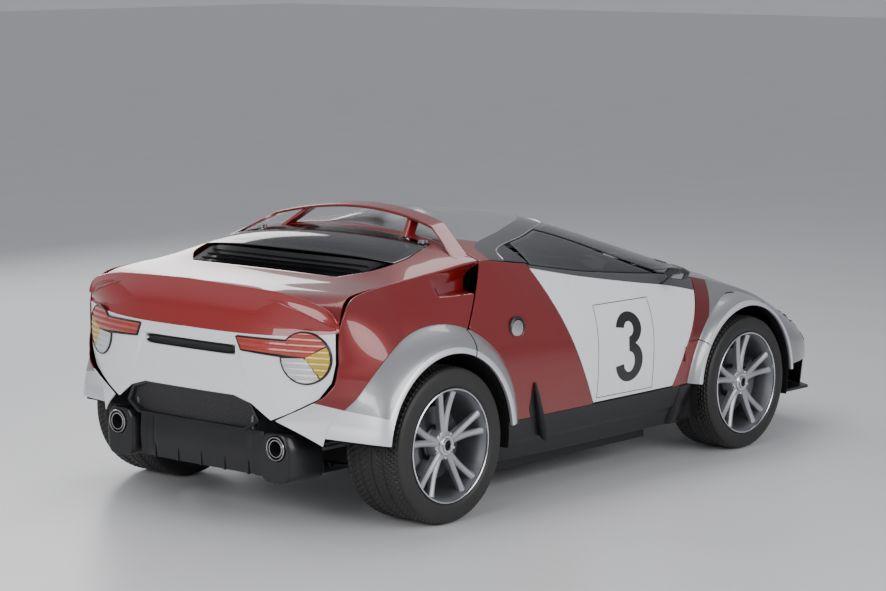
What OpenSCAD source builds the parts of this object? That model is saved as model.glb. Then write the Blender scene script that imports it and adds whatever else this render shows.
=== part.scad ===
// Mid-engined two-seat rally coupe: a wedge body of large panels on a central tub.
// X is across the car, Y runs from nose (-) to tail (+), Z is up, and Z = 0 is the ground.
// The surface functions use a frame whose Y = 0 is half way between the axles. place()
// shifts the finished pieces so that Y = 0 is half way along the body.

/* [Overall] */
// Distance between the axles
wheelbase = 2310; // [2200:10:2800]
// Nose tip ahead of the front axle
front_overhang = 995; // [900:5:1150]
// Tail lip behind the rear axle
rear_overhang = 660; // [640:5:760]
// Half width of the body at its waist, flares left out
waist_half = 925; // [880:5:1050]
// Height of the roof above the ground
roof_z = 1262; // [1200:2:1400]

/* [Body line] */
// Height of the nose tip
nose_z = 440; // [410:5:480]
// Height of the windscreen's foot on the centre line
screen_foot_z = 905; // [880:5:930]
// Height of the glass line at the middle of the door
belt_z = 1008; // [980:2:1030]
// Height of the tail lip
lip_z = 1078; // [1050:2:1110]
// Height of the lower edge of the painted side
side_low_z = 385; // [360:5:410]
// Gap between panels that move apart
shut_gap = 6.5; // [5:0.5:8]
// Thickness of a clamshell or roof skin
skin_t = 12; // [8:1:16]
// Thickness of a whole door
door_t = 60; // [50:1:70]
// Thickness of the glass
glass_t = 6; // [4:0.5:8]

/* [Wheels] */
// Radius of a front tyre
front_tyre_r = 338; // [320:1:345]
// Radius of a rear tyre
rear_tyre_r = 352; // [330:1:358]
// Width of a front tyre
front_tyre_w = 265; // [235:5:275]
// Width of a rear tyre
rear_tyre_w = 325; // [285:5:335]
// Outer face of a front tyre from the centre line
front_face_x = 952; // [940:2:960]
// Outer face of a rear tyre from the centre line
rear_face_x = 982; // [970:2:990]
// Radius of the rim at its outer lip
rim_r = 258; // [245:1:262]
// Number of twin spokes
spokes = 5; // [4:1:7]
// Radius of the front wheel arch
front_arch_r = 392; // [388:1:405]
// Radius of the rear wheel arch
rear_arch_r = 412; // [405:1:425]
// Radius of the stub axle that a wheel turns on
stub_r = 30; // [24:1:34]

/* [Hidden] */
ya_f = -wheelbase / 2;
ya_r = wheelbase / 2;
y_nose = ya_f - front_overhang;
y_tail = ya_r + rear_overhang;
seat_gap = 0.3;
module place() {
  translate([0, -(y_nose + y_tail) / 2, 0]) children();
}
module both_sides() {
  children();
  mirror([1, 0, 0]) children();
}

// --- Curves: each table holds [y, value] stations, joined by smooth cubics ---
function mix(a, b, t) = a + (b - a) * t;
function span_of(t, y, i = 0) = (i >= len(t) - 2 || y < t[i + 1][0]) ? i : span_of(t, y, i + 1);
function slope_at(t, i) =
  let(a = max(i - 1, 0), b = min(i + 1, len(t) - 1))
  (t[b][1] - t[a][1]) / (t[b][0] - t[a][0]);
function curve(t, y) =
  let(i = span_of(t, y))
  let(h = t[i + 1][0] - t[i][0])
  let(w = min(max((y - t[i][0]) / h, 0), 1))
  let(a = t[i][1], b = t[i + 1][1], da = slope_at(t, i) * h, db = slope_at(t, i + 1) * h)
  a + w * (da + w * (3 * (b - a) - 2 * da - db + w * (2 * (a - b) + da + db)));
top_line = [
  [y_nose, nose_z],
  [y_nose + 60, nose_z + 62],
  [y_nose + 200, nose_z + 125],
  [ya_f - 345, mix(nose_z, screen_foot_z, 0.68)],
  [ya_f - 60, screen_foot_z - 30],
  [ya_f + 25, screen_foot_z + 8],
  [ya_f + 485, mix(screen_foot_z, roof_z, 0.5)],
  [ya_f + 825, mix(screen_foot_z, roof_z, 0.815)],
  [ya_f + 1055, roof_z - 19],
  [ya_r - 905, roof_z],
  [ya_r - 505, roof_z - 12],
  [ya_r - 355, roof_z - 32],
  [ya_r - 95, mix(roof_z, lip_z, 0.63)],
  [ya_r + 195, lip_z + 5],
  [y_tail - 215, lip_z - 33],
  [y_tail - 115, lip_z - 28],
  [y_tail, lip_z]
];
shoulder_x = [
  [y_nose, waist_half - 365],
  [y_nose + 100, waist_half - 285],
  [y_nose + 300, waist_half - 190],
  [ya_f - 345, waist_half - 125],
  [ya_f, waist_half - 110],
  [ya_f + 355, waist_half - 113],
  [ya_f + 755, waist_half - 125],
  [ya_r - 655, waist_half - 127],
  [ya_r - 405, waist_half - 140],
  [ya_r - 155, waist_half - 160],
  [ya_r + 145, waist_half - 180],
  [y_tail - 265, waist_half - 180],
  [y_tail - 195, waist_half - 160],
  [y_tail - 130, waist_half - 125]
];
shoulder_z = [
  [y_nose, nose_z - 40],
  [y_nose + 100, nose_z + 25],
  [y_nose + 300, nose_z + 120],
  [ya_f - 495, nose_z + 210],
  [ya_f - 245, belt_z - 253],
  [ya_f, belt_z - 183],
  [ya_f + 255, belt_z - 123],
  [ya_f + 555, belt_z - 68],
  [ya_f + 790, belt_z - 43],
  [ya_f + 1155, belt_z],
  [ya_r - 955, belt_z + 32],
  [ya_r - 705, belt_z + 75],
  [ya_r - 405, belt_z + 112],
  [ya_r - 155, belt_z + 87],
  [ya_r + 145, belt_z + 57],
  [y_tail - 265, belt_z + 32],
  [y_tail - 195, lip_z - 68],
  [y_tail - 155, lip_z - 118],
  [y_tail - 130, lip_z - 178]
];
crown_angle = [
  [y_nose, 80], [ya_f, 75], [ya_f + 355, 62], [ya_f + 755, 55], [ya_f + 1155, 55],
  [ya_r - 655, 58], [ya_r - 355, 60], [ya_r + 45, 70], [y_tail - 130, 75]
];
waist_x = [
  [y_nose, waist_half - 325],
  [y_nose + 100, waist_half - 225],
  [y_nose + 250, waist_half - 125],
  [ya_f - 545, waist_half - 55],
  [ya_f - 245, waist_half - 20],
  [ya_f, waist_half - 10],
  [ya_f + 455, waist_half - 3],
  [ya_f + 855, waist_half],
  [ya_r - 455, waist_half],
  [ya_r, waist_half + 5],
  [y_tail - 365, waist_half - 20]
];
waist_z = [[y_nose, nose_z - 80], [ya_f - 300, 520], [ya_f + 400, 600], [ya_r, 620], [y_tail, 620]];

// --- Body surface, right hand side taken as positive X ---
// crown(y, s): s = 0 on the centre line, s = 1 at the shoulder.
function crown(y, s) =
  let(a = curve(crown_angle, y), k = s * a)
  let(zs = curve(shoulder_z, y), zt = curve(top_line, y))
  [
    curve(shoulder_x, y) * sin(k) / sin(a),
    y,
    zs + (zt - zs) * (cos(k) - cos(a)) / (1 - cos(a))
  ];
// The tail's side edge: its Y and X at a height.
tail_edge_y = [[490, y_tail - 20], [600, y_tail - 75], [670, y_tail - 115], [760, y_tail - 132],
  [900, y_tail - 132]];
tail_edge_x = [[490, waist_half - 420], [600, waist_half - 195], [670, waist_half - 135],
  [760, waist_half - 125], [900, waist_half - 125]];
function side_x(y, z) =
  let(zs = curve(shoulder_z, y), zw = curve(waist_z, y))
  let(xs = curve(shoulder_x, y), xw = curve(waist_x, y))
  z > zw
    ? xw - (xw - xs) * pow(min((z - zw) / max(zs - zw, 1), 1), 2.2)
    : xw - 14 * pow((zw - z) / 220, 2);
tail_start = y_tail - 465;
function flank_x(y, z) =
  y <= tail_start
    ? side_x(y, z)
    : let(ye = curve(tail_edge_y, z), w = (y - tail_start) / (ye - tail_start))
      mix(side_x(tail_start, min(z, curve(shoulder_z, tail_start))),
        min(curve(tail_edge_x, z), curve(shoulder_x, y) + 60),
        pow(min(max(w, 0), 1), 2.4));
function flank(y, z) = [flank_x(y, z), y, z];
function tail_y(x) = y_tail + 5 - 140 * pow(abs(x) / 800, 3);

// --- Shells: a grid of points on the outer surface, and the same grid moved inwards ---
function unit(v) = v / max(norm(v), 1e-9);
function grid_normal(g, i, j, loop) =
  let(n = len(g), m = len(g[0]))
  let(ip = loop ? (i + 1) % n : min(i + 1, n - 1), im = loop ? (i + n - 1) % n : max(i - 1, 0))
  unit(cross(g[ip][j] - g[im][j], g[i][min(j + 1, m - 1)] - g[i][max(j - 1, 0)]));
function moved(g, d, loop = false) = [
  for (i = [0 : len(g) - 1]) [for (j = [0 : len(g[0]) - 1]) g[i][j] + d * grid_normal(g, i, j, loop)]
];
module between(outer, inner, loop = false) {
  n = len(outer);
  m = len(outer[0]);
  k = n * m;
  last = loop ? n - 1 : n - 2;
  function id(i, j) = (i % n) * m + j;
  skin = [for (i = [0 : last], j = [0 : m - 2]) each [
    [id(i, j), id(i + 1, j + 1), id(i + 1, j)],
    [id(i, j), id(i, j + 1), id(i + 1, j + 1)],
    [k + id(i, j), k + id(i + 1, j), k + id(i + 1, j + 1)],
    [k + id(i, j), k + id(i + 1, j + 1), k + id(i, j + 1)]
  ]];
  rims = [for (i = [0 : last]) each [
    [id(i, 0), id(i + 1, 0), k + id(i + 1, 0)],
    [id(i, 0), k + id(i + 1, 0), k + id(i, 0)],
    [id(i, m - 1), k + id(i + 1, m - 1), id(i + 1, m - 1)],
    [id(i, m - 1), k + id(i, m - 1), k + id(i + 1, m - 1)]
  ]];
  ends = loop ? [] : [for (j = [0 : m - 2]) each [
    [id(0, j), k + id(0, j + 1), id(0, j + 1)],
    [id(0, j), k + id(0, j), k + id(0, j + 1)],
    [id(n - 1, j), id(n - 1, j + 1), k + id(n - 1, j + 1)],
    [id(n - 1, j), k + id(n - 1, j + 1), k + id(n - 1, j)]
  ]];
  polyhedron(concat([for (r = outer) each r], [for (r = inner) each r]), concat(skin, rims, ends));
}
module shell(g, t, loop = false) {
  between(g, moved(g, -t, loop), loop);
}
// The same grid shifted by one vector, for panels whose edges stay parallel to an axis.
function shifted(g, v) = [for (r = g) [for (p = r) p + v]];
module slab(g, v, loop = false) {
  between(g, shifted(g, v), loop);
}
// Crown panels: along the shoulder the edge is cut level, so that a side panel fits under it.
edge_s = 0.995;
seam = 0.9;
function crown_inner(g, t, loop) = [
  for (i = [0 : len(g) - 1]) [for (j = [0 : len(g[0]) - 1])
    let(p = g[i][j])
    abs(p[0]) > crown(p[1], edge_s)[0] - 0.05
      ? p - [sign(p[0]) * t * 1.1, 0, 0]
      : p - t * grid_normal(g, i, j, loop)
  ]
];
module crown_shell(g, t, loop = false) {
  between(g, crown_inner(g, t, loop), loop);
}
function side_top_z(y) = crown(y, edge_s)[2] - seam;
// Height of the crown surface at a distance x from the centre line.
function crown_z(x, y) =
  let(a = curve(crown_angle, y))
  crown(y, asin(abs(x) * sin(a) / curve(shoulder_x, y)) / a)[2];
function steps(a, b, n) = [for (i = [0 : n]) mix(a, b, i / n)];

// --- Shut lines ---
// Foot of the windscreen, swept back round the sides: [s, y] at an angle, grown outwards.
foot_power = 2.3;
foot_depth = 850;
foot_rear_line = ya_f + 855;
cowl_reach = 820;
function foot_pt(t, grow) = [
  min(max((1 + grow / cowl_reach) * sign(t) * pow(abs(sin(t)), 2 / foot_power), -0.99), 0.99),
  foot_rear_line - (foot_depth + grow) * pow(cos(t), 2 / foot_power)
];
function foot_y(s, grow = 0) =
  foot_rear_line - (foot_depth + grow)
    * pow(max(1 - pow(abs(s) / (1 + grow / cowl_reach), foot_power), 0), 1 / foot_power);
// Upper edge of the windscreen and the side glass.
glass_top = [[0, ya_f + 790], [0.35, ya_f + 890], [0.6, ya_f + 1270], [0.8, ya_f + 1650], [1, ya_f + 1735]];
function glass_top_y(s) = curve(glass_top, abs(s));
cowl_w = 50;
nose_sweep = 105;
function nose_edge_y(s) = y_nose + nose_sweep * pow(abs(s), 3);
bonnet_front = 96;
// Door: front edge and rear edge from the sill up to the shoulder.
door_low_z = side_low_z + shut_gap;
door_front_low = ya_f + 585;
door_front_top = ya_f + 307;
door_rear_low = ya_r - 1105;
door_rear_top = ya_r - 735;
function door_edge_y(low, top, z) =
  mix(low, top, (z - side_low_z) / (curve(shoulder_z, top) - side_low_z));
function door_front_y(z) = door_edge_y(door_front_low, door_front_top, z);
function door_rear_y(z) = door_edge_y(door_rear_low, door_rear_top, z);
function door_top_z(y) = side_top_z(y) - shut_gap;
// Arch centres stand at the wheel centres. The flares are bands round the arches.
zc_f = front_tyre_r;
zc_r = rear_tyre_r;
front_flare_r = front_arch_r + 66;
rear_flare_r = rear_arch_r + 118;
front_split_z = 600;
rear_split_phi = 112;
split_cut = 0.6;
function on_arch(yc, zc, r, phi) = [yc + r * cos(phi), zc + r * sin(phi)];
function arch_half(r, zc, z) = sqrt(pow(r, 2) - pow(z - zc, 2));
// Rear clamshell: its front edge runs from the shoulder to the top of the flare.
clam_front_y = ya_r - 405;
clam_gap = shut_gap * 1.4;
clam_foot = on_arch(ya_r, zc_r, rear_flare_r, rear_split_phi);
function yz_grid(inner, outer, rows) = [
  for (i = [0 : len(inner) - 1]) [
    for (j = [0 : rows])
      let(p = mix(inner[i], outer[i], j / rows)) flank(p[0], p[1])
  ]
];

// --- Front body ---
lid_s = 0.8;
lid_gap_s = shut_gap / 400;
// The lid's inner face is cut back at the front, so that its edge swings clear of the nose panel.
lid_cut = 18;
module bonnet() {
  function lid_grid(cut) = [for (s = steps(-lid_s, lid_s, 16)) [
    for (v = steps(0, 1, 16))
      crown(mix(nose_edge_y(s) + bonnet_front + cut, foot_y(s, cowl_w + shut_gap + 2), v), s)
  ]];
  color("silver") place() between(lid_grid(0), moved(lid_grid(lid_cut), -skin_t));
}
module nose_panel() {
  color("silver") place()
    crown_shell([for (s = steps(-edge_s, edge_s, 32)) [
      for (v = steps(0, 1, 3)) crown(nose_edge_y(s) + v * (bonnet_front - shut_gap), s)
    ]], skin_t);
}
front_split_phi = asin((front_split_z - zc_f) / front_flare_r);
front_phis = concat([177, 172], steps(167, 60, 16), [50, 42, front_split_phi + 0.2]);
fender_outer = concat(
  [[y_nose + 170, side_low_z - 25], [y_nose + 130, mix(side_low_z, nose_z, 0.7)]],
  [for (y = steps(nose_edge_y(1), door_front_top - shut_gap, 16)) [y, side_top_z(y) - 0.8]],
  [for (z = [mix(side_top_z(door_front_top), front_split_z, 0.4),
      mix(side_top_z(door_front_top), front_split_z, 0.75), front_split_z + 0.4])
    [door_front_y(z) - shut_gap, z]]
);
fender_inner = [for (phi = front_phis) on_arch(ya_f, zc_f, front_flare_r + seam, phi)];
module front_fenders() {
  color("silver") place() both_sides() {
    slab(yz_grid(fender_inner, fender_outer, 4), [-skin_t, 0, 0]);
    crown_shell([for (s = steps(lid_s + lid_gap_s, edge_s, 7)) [
      for (v = steps(0, 1, 24))
        crown(mix(nose_edge_y(s) + bonnet_front - shut_gap + 11, foot_y(s, cowl_w) - 9, v), s)
    ]], skin_t);
  }
}
// A flare is a rounded band round the arch: section points run from the lip to the body.
function flare_ring(yc, zc, r0, r1, lip_x, phi) =
  let(skin = flank_x(yc + r1 * cos(phi), zc + r1 * sin(phi)))
  let(pt = function(r, x) [x, yc + r * cos(phi), zc + r * sin(phi)])
  [
    pt(r0 + 2, lip_x - 20),
    pt(r0, lip_x - 4),
    pt(r0 + 5, lip_x),
    pt(mix(r0, r1, 0.35), mix(lip_x, skin, 0.22) + 5),
    pt(mix(r0, r1, 0.7), mix(lip_x, skin, 0.62) + 7),
    pt(r1, skin),
    pt(r1, skin - skin_t),
    pt(mix(r0, r1, 0.55), mix(lip_x, skin, 0.6) - 14)
  ];
module swept(rings) {
  n = len(rings);
  m = len(rings[0]);
  polyhedron(
    [for (r = rings) each r],
    concat(
      [[for (j = [0 : m - 1]) j]],
      [[for (j = [m - 1 : -1 : 0]) (n - 1) * m + j]],
      [for (i = [0 : n - 2], j = [0 : m - 1]) let(k = (j + 1) % m) each [
        [i * m + j, (i + 1) * m + j, (i + 1) * m + k],
        [i * m + j, (i + 1) * m + k, i * m + k]
      ]]
    )
  );
}
front_lip_x = front_face_x + 8;
rear_lip_x = rear_face_x + 10;
module flare(yc, zc, r0, r1, lip_x, phis) {
  swept([for (phi = phis) flare_ring(yc, zc, r0, r1, lip_x, phi)]);
}
function backwards(a) = [for (i = [len(a) - 1 : -1 : 0]) a[i]];
module front_flares() {
  color("lightgray") place() both_sides()
    flare(ya_f, zc_f, front_arch_r, front_flare_r, front_lip_x, backwards(front_phis));
}
function lamp_grid() = [for (s = steps(0.835, 0.975, 5)) [
  for (y = steps(y_nose + 215, y_nose + 450, 6)) crown(y, s)
]];
module headlamps() {
  color("white") place() both_sides()
    between(moved(lamp_grid(), 4), moved(lamp_grid(), 0.5));
}

// --- Fixed front pieces ---
lower_phis = steps(asin((side_low_z + 2 - zc_f) / front_flare_r), front_split_phi - 0.2, 6);
module front_lower_wings() {
  color("firebrick") place() both_sides() {
    slab([for (u = steps(0, 1, 3)) [for (z = steps(side_low_z, front_split_z - 0.4, 6))
      flank(mix(ya_f + arch_half(front_flare_r + seam, zc_f, z), door_front_y(z) - shut_gap, u), z)
    ]], [-skin_t, 0, 0]);
    flare(ya_f, zc_f, front_arch_r, front_flare_r, front_lip_x, lower_phis);
  }
}
bumper_low_z = 205;
bumper_top_z = side_low_z - 33;
function nose_y(x) = y_nose + 12 + 150 * pow(abs(x) / 740, 3);
module front_bumper() {
  color("dimgray") place()
    slab([for (x = steps(-735, 735, 14)) [for (z = steps(bumper_low_z, bumper_top_z, 3))
      [x, nose_y(x) + 26 - 26 * (z - bumper_low_z) / (bumper_top_z - bumper_low_z), z]
    ]], [0, 14, 0]);
}
splitter_t = 14;
module splitter() {
  xs = steps(-780, 780, 20);
  color("black") place() translate([0, 0, bumper_low_z - splitter_t - seat_gap])
    linear_extrude(splitter_t)
      polygon(concat([for (x = xs) [x, nose_y(x) - 8]], [[780, ya_f - 430], [310, ya_f - 430],
        [310, tub_front_y], [-310, tub_front_y], [-310, ya_f - 430], [-780, ya_f - 430]]));
}

// --- Glass house ---
screen_t = 74;
a_top_s = 0.52;
glass_seam = 0.9;
module windscreen() {
  color([0.1, 0.1, 0.11, 0.8]) place()
    shell([for (u = steps(-1, 1, 24)) [for (v = steps(0, 1, 8))
      let(f = foot_pt(screen_t * u, 0), st = a_top_s * u)
      crown(mix(f[1], glass_top_y(st) - glass_seam, v), mix(f[0], st, v))
    ]], glass_t);
}
// Side glass: its foot stands on the door's top edge.
function crown_s_at(y, z) =
  let(a = curve(crown_angle, y), zs = curve(shoulder_z, y), zt = curve(top_line, y))
  acos(cos(a) + (z - zs) * (1 - cos(a)) / (zt - zs)) / a;
door_glass_gap = 0.012;
module door_glass() {
  shell([for (u = steps(0, 1, 12)) [for (v = steps(0, 1, 6))
    let(y0 = mix(foot_pt(screen_t, 0)[1] + 45, door_rear_top - 22, u))
    let(s0 = crown_s_at(y0, door_top_z(y0) + 3.7))
    let(s1 = mix(a_top_s + 2 * door_glass_gap, 0.72, u))
    let(y1 = glass_top_y(s1) - 22)
    crown(mix(y0, y1, v), mix(s0, s1, v))
  ]], glass_t);
}
module door_glass_right() {
  color([0.1, 0.1, 0.11, 0.8]) place() mirror([1, 0, 0]) door_glass();
}
module door_glass_left() {
  color([0.1, 0.1, 0.11, 0.8]) place() door_glass();
}
module cowl() {
  color("dimgray") place()
    crown_shell([for (u = steps(-1, 1, 24)) [for (v = steps(0, 1, 2))
      let(a = foot_pt(screen_t * u, cowl_w), b = foot_pt(screen_t * u, glass_seam))
      let(s = mix(a[0], b[0], v))
      crown(mix(a[1], b[1], v), sign(s) * min(abs(s), edge_s - 0.024))
    ]], skin_t);
}
roof_side = steps(a_top_s, edge_s, 5);
roof_s = concat([for (i = [5 : -1 : 1]) -roof_side[i]], steps(-a_top_s, a_top_s, 24),
  [for (i = [1 : 5]) roof_side[i]]);
module roof_panel() {
  color("silver") place()
    crown_shell([for (s = roof_s) [
      for (v = steps(0, 1, 7)) crown(mix(glass_top_y(s), clam_front_y - shut_gap - 1, v), s)
    ]], skin_t);
}

// --- Fixed rear quarter, between the door and the rear clamshell ---
clam_slope_z = side_top_z(clam_front_y);
function quarter_rear_y(z) =
  z < clam_foot[1]
    ? ya_r - arch_half(rear_flare_r + seam, zc_r, z)
    : mix(clam_foot[0], clam_front_y, (z - clam_foot[1]) / (clam_slope_z - clam_foot[1])) - clam_gap;
quarter_v = concat(steps(0, 1, 7), steps(1.01, 2, 6));
module quarter() {
  slab([for (u = steps(0, 1, 8)) [for (v = quarter_v)
    let(zt = side_top_z(mix(door_rear_top + shut_gap, clam_front_y - clam_gap, u)))
    let(z = v <= 1 ? mix(side_low_z, clam_foot[1] - 4, v) : mix(clam_foot[1] + 4, zt, v - 1))
    flank(mix(door_rear_y(z) + shut_gap, quarter_rear_y(z), u), z)
  ]], [-skin_t, 0, 0]);
  flare(ya_r, zc_r, rear_arch_r, rear_flare_r, rear_lip_x, steps(rear_split_phi + split_cut, 175, 8));
}
module quarter_right() {
  color("firebrick") place() mirror([1, 0, 0]) quarter();
}
module quarter_left() {
  color("firebrick") place() quarter();
}

// --- Rear clamshell ---
clam_skin = 16;
clam_outer = concat(
  [for (y = steps(clam_front_y, y_tail - 140, 15)) [y, side_top_z(y) - 0.6]],
  [[y_tail - 132, 880], [y_tail - 132, 760], [y_tail - 115, 670], [y_tail - 75, 600], [y_tail - 24, 495]]
);
clam_phis = concat(steps(rear_split_phi, 32, 15), [26, 20, 14, 9, 4]);
clam_inner = [for (phi = clam_phis) on_arch(ya_r, zc_r, rear_flare_r + seam, phi)];
module rear_quarters() {
  color("firebrick") place() both_sides()
    slab(yz_grid(clam_inner, clam_outer, 6), [-clam_skin, 0, 0]);
}
rear_phis = steps(8, rear_split_phi - split_cut, 18);
module rear_flares() {
  color("lightgray") place() both_sides()
    flare(ya_r, zc_r, rear_arch_r, rear_flare_r, rear_lip_x, rear_phis);
}
// The deck is a ring of skin round the hatch opening.
window_front_y = ya_r - 355;
window_rear_y = ya_r + 15;
louvre_rear_y = ya_r + 185;
opening_side = [[window_front_y, 0.62], [ya_r - 250, 0.66], [ya_r - 95, 0.71], [ya_r + 60, 0.66],
  [louvre_rear_y, 0.5]];
function lip_y(s) = y_tail - 4 - 122 * pow(abs(s), 3);
function deck_rear_y(s) = lip_y(s) - skin_t - 12;
side_n = 12;
// Both loops run clockwise from above: rear, right side, front, left side.
opening_loop = concat(
  [for (s = steps(-0.5, 0.5, side_n)) [s, louvre_rear_y + 10 * (1 - 4 * s * s)]],
  [for (k = [1 : side_n]) let(y = mix(louvre_rear_y, window_front_y, k / side_n))
    [curve(opening_side, y), y]],
  [for (k = [1 : side_n]) [0.62 * (1 - 2 * k / side_n), window_front_y]],
  [for (k = [1 : side_n - 1]) let(y = mix(window_front_y, louvre_rear_y, k / side_n))
    [-curve(opening_side, y), y]]
);
deck_loop = concat(
  [for (s = steps(-edge_s, edge_s, side_n)) [s, deck_rear_y(s)]],
  [for (k = [1 : side_n]) [edge_s, mix(deck_rear_y(edge_s), clam_front_y, k / side_n)]],
  [for (k = [1 : side_n]) [edge_s * (1 - 2 * k / side_n), clam_front_y]],
  [for (k = [1 : side_n - 1]) [-edge_s, mix(clam_front_y, deck_rear_y(edge_s), k / side_n)]]
);
module rear_deck() {
  color("firebrick") place()
    crown_shell([for (i = [0 : len(deck_loop) - 1]) [for (v = steps(0, 1, 8))
      let(p = mix(opening_loop[i], deck_loop[i], v))
      crown(min(p[1], deck_rear_y(p[0])), p[0])
    ]], skin_t, true);
}
function duck_low_z(x) = lip_z - 213 + 30 * pow(abs(x) / 800, 4);
module ducktail() {
  color("red") place()
    slab([for (s = steps(0.952, -0.952, 24)) [for (v = steps(0, 1, 5))
      let(t = crown(lip_y(s), s))
      let(b = [t[0], tail_y(t[0]) - 6, duck_low_z(t[0])])
      mix(b, t, v) - [0, 14 * sin(180 * v), 0]
    ]], [0, -skin_t, 0]);
}
panel_low = [[0, 588], [300, 588], [400, 560], [505, 494], [600, 535], [730, 604], [785, 680], [800, 760]];
panel_side_gap = clam_skin + 1;
function panel_low_z(x) =
  let(a = abs(x), c = 505 - panel_side_gap)
  let(b = a > c ? a + panel_side_gap : 505 * a / c, i = span_of(panel_low, b))
  mix(panel_low[i][1], panel_low[i + 1][1], (b - panel_low[i][0]) / (panel_low[i + 1][0] - panel_low[i][0]));
function tail_point(x, z) = [x, tail_y(x), z];
tail_half = waist_half - 125 - panel_side_gap;
module tail_panel() {
  color("white") place()
    slab([for (x = steps(tail_half, -tail_half, 32)) [for (v = steps(0, 1, 5))
      tail_point(x, mix(panel_low_z(x), duck_low_z(x) - 0.5, v))
    ]], [0, -skin_t, 0]);
}
lamp_x = 656;
lamp_z = 781;
lamp_r = 116;
module tail_lamps() {
  color("orangered") place() both_sides() {
    disc = [for (a = [0 : 15 : 345]) [for (r = steps(12, lamp_r, 3))
      let(x = lamp_x + r * cos(a))
      tail_point(x, min(lamp_z + r * sin(a), duck_low_z(x) - 4)) + [0, 9, 0]
    ]];
    slab(disc, [0, -8.5, 0], true);
    bar = [for (x = steps(lamp_x - lamp_r - 3, 330, 4)) [for (v = steps(0, 1, 2))
      tail_point(x, mix(lamp_z + 12, lamp_z + 72, v)) + [0, 9, 0]
    ]];
    slab(bar, [0, -8.5, 0]);
  }
}
hoop_y = ya_r - 465;
hoop_x = 500;
module roof_hoop() {
  function hoop_pt(x) = [x, hoop_y - 30 + 40 * pow(x / hoop_x, 2), 1332 - 62 * pow(x / hoop_x, 2)];
  function section(p) = [p + [0, -45, 0], p + [0, 45, -12], p + [0, 45, -26], p + [0, -45, -16]];
  function on_deck(s, y) = crown(y, s) + [0, 0, 0.9];
  function foot(side) = [
    for (q = [[0.9, 10], [0.9, 95], [0.85, 95], [0.85, 10]]) on_deck(side * q[0], clam_front_y + q[1])
  ];
  rings = [for (x = steps(hoop_x, -hoop_x, 12)) section(hoop_pt(x))];
  color("firebrick") place()
    swept(concat([foot(1), mix(foot(1), rings[0], 0.5)], rings, [mix(foot(-1), rings[12], 0.5), foot(-1)]));
}
module louvre_panel() {
  function louvre_pt(s, v) =
    let(w = s * 0.6)
    crown(mix(window_rear_y - 60 * s * s + 10, louvre_rear_y + 6, v), w * (1 - 0.12 * v));
  color("black") place()
    shell(moved([for (s = steps(-1.06, 1.06, 14)) [for (v = steps(0, 1, 6)) louvre_pt(s, v)]],
      -skin_t - 0.6), 8);
}
module rear_window() {
  color([0.1, 0.1, 0.11, 0.8]) place()
    shell([for (u = steps(-1, 1, 14)) [for (v = steps(0, 1, 10))
      let(y = mix(window_front_y + 0.8, window_rear_y - 60 * u * u, v))
      crown(y, u * (curve(opening_side, y) - 0.005))
    ]], glass_t);
}

// --- Doors ---
door_inset = 26;
module door() {
  function door_grid(cut) = [for (u = steps(0, 1, 12))
    let(z0 = door_top_z(mix(door_front_top, door_rear_top, u)))
    let(zt = door_top_z(mix(door_front_y(z0), door_rear_y(z0), u)))
    [for (v = steps(0, 1, 12))
      let(z = mix(door_low_z + cut * 0.4, zt - cut, v))
      flank(mix(door_front_y(z) + cut, door_rear_y(z) - cut, u), z)
    ]
  ];
  between(door_grid(0), shifted(door_grid(door_inset), [-door_t, 0, 0]));
}
module door_right() {
  color("white") place() mirror([1, 0, 0]) {
    door();
    hinge_knuckle();
  }
}
module door_left() {
  color("white") place() {
    door();
    hinge_knuckle();
  }
}
mirror_y = ya_f + 590;
mirror_z = 950;
mirror_foot_z = belt_z - 118;
module door_mirror() {
  foot_x = flank_x(mirror_y, mirror_foot_z) + 0.5;
  translate([935, mirror_y, mirror_z]) {
    difference() {
      hull() {
        translate([-65, -20, -28]) cube([130, 40, 56]);
        translate([-45, -70, -14]) cube([90, 20, 28]);
      }
      translate([-57, 14, -21]) cube([114, 20, 42]);
    }
  }
  hull() {
    translate([foot_x, mirror_y - 30, mirror_foot_z]) cube([8, 40, 14]);
    translate([872, mirror_y - 14, mirror_z - 20]) cube([8, 24, 10]);
  }
}
module mirror_right() {
  color("dimgray") place() mirror([1, 0, 0]) door_mirror();
}
module mirror_left() {
  color("dimgray") place() door_mirror();
}

// Two plain knuckles and a pin where the hinge line crosses the door's front edge.
hinge_y = ya_f + 495;
hinge_r = 8;
pin_r = 4;
hinge_z = side_low_z + (door_front_low - hinge_y) / (door_front_low - door_front_top)
  * (curve(shoulder_z, door_front_top) - side_low_z);
hinge_x = flank_x(hinge_y, hinge_z) + hinge_r - 0.2;
module door_hinges() {
  color("silver") place() both_sides() translate([hinge_x, hinge_y, hinge_z - 45]) {
    cylinder(r = hinge_r, h = 40, $fn = 32);
    cylinder(r = pin_r, h = 72, $fn = 24);
  }
}
module hinge_knuckle() {
  translate([hinge_x, hinge_y, hinge_z - 4]) difference() {
    cylinder(r = hinge_r, h = 40, $fn = 32);
    translate([0, 0, -1]) cylinder(r = pin_r + 0.4, h = 32, $fn = 24);
  }
}

// --- Tub, sills and inside ---
tub_half = 640;
floor_z = 120;
floor_t = 30;
tub_front_y = ya_f + 205;
tub_rear_y = ya_r - 545;
foot_half = 440;
foot_rear_y = ya_f + 515;
sill_in_x = 640;
sill_out_x = 740;
rail_x = 330;
rail_w = 50;
nose_rail_x = 260;
dash_z = 640;
// A plate in the YZ plane, from its outline, at an x and of a thickness.
module yz_plate(x, t, points) {
  translate([x, 0, 0]) rotate([90, 0, 90]) linear_extrude(t) polygon(points);
}
module x_pin(x, y, z, r, length) {
  translate([x, y, z]) rotate([0, 90, 0]) cylinder(r = r, h = length, $fn = 32);
}
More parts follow.
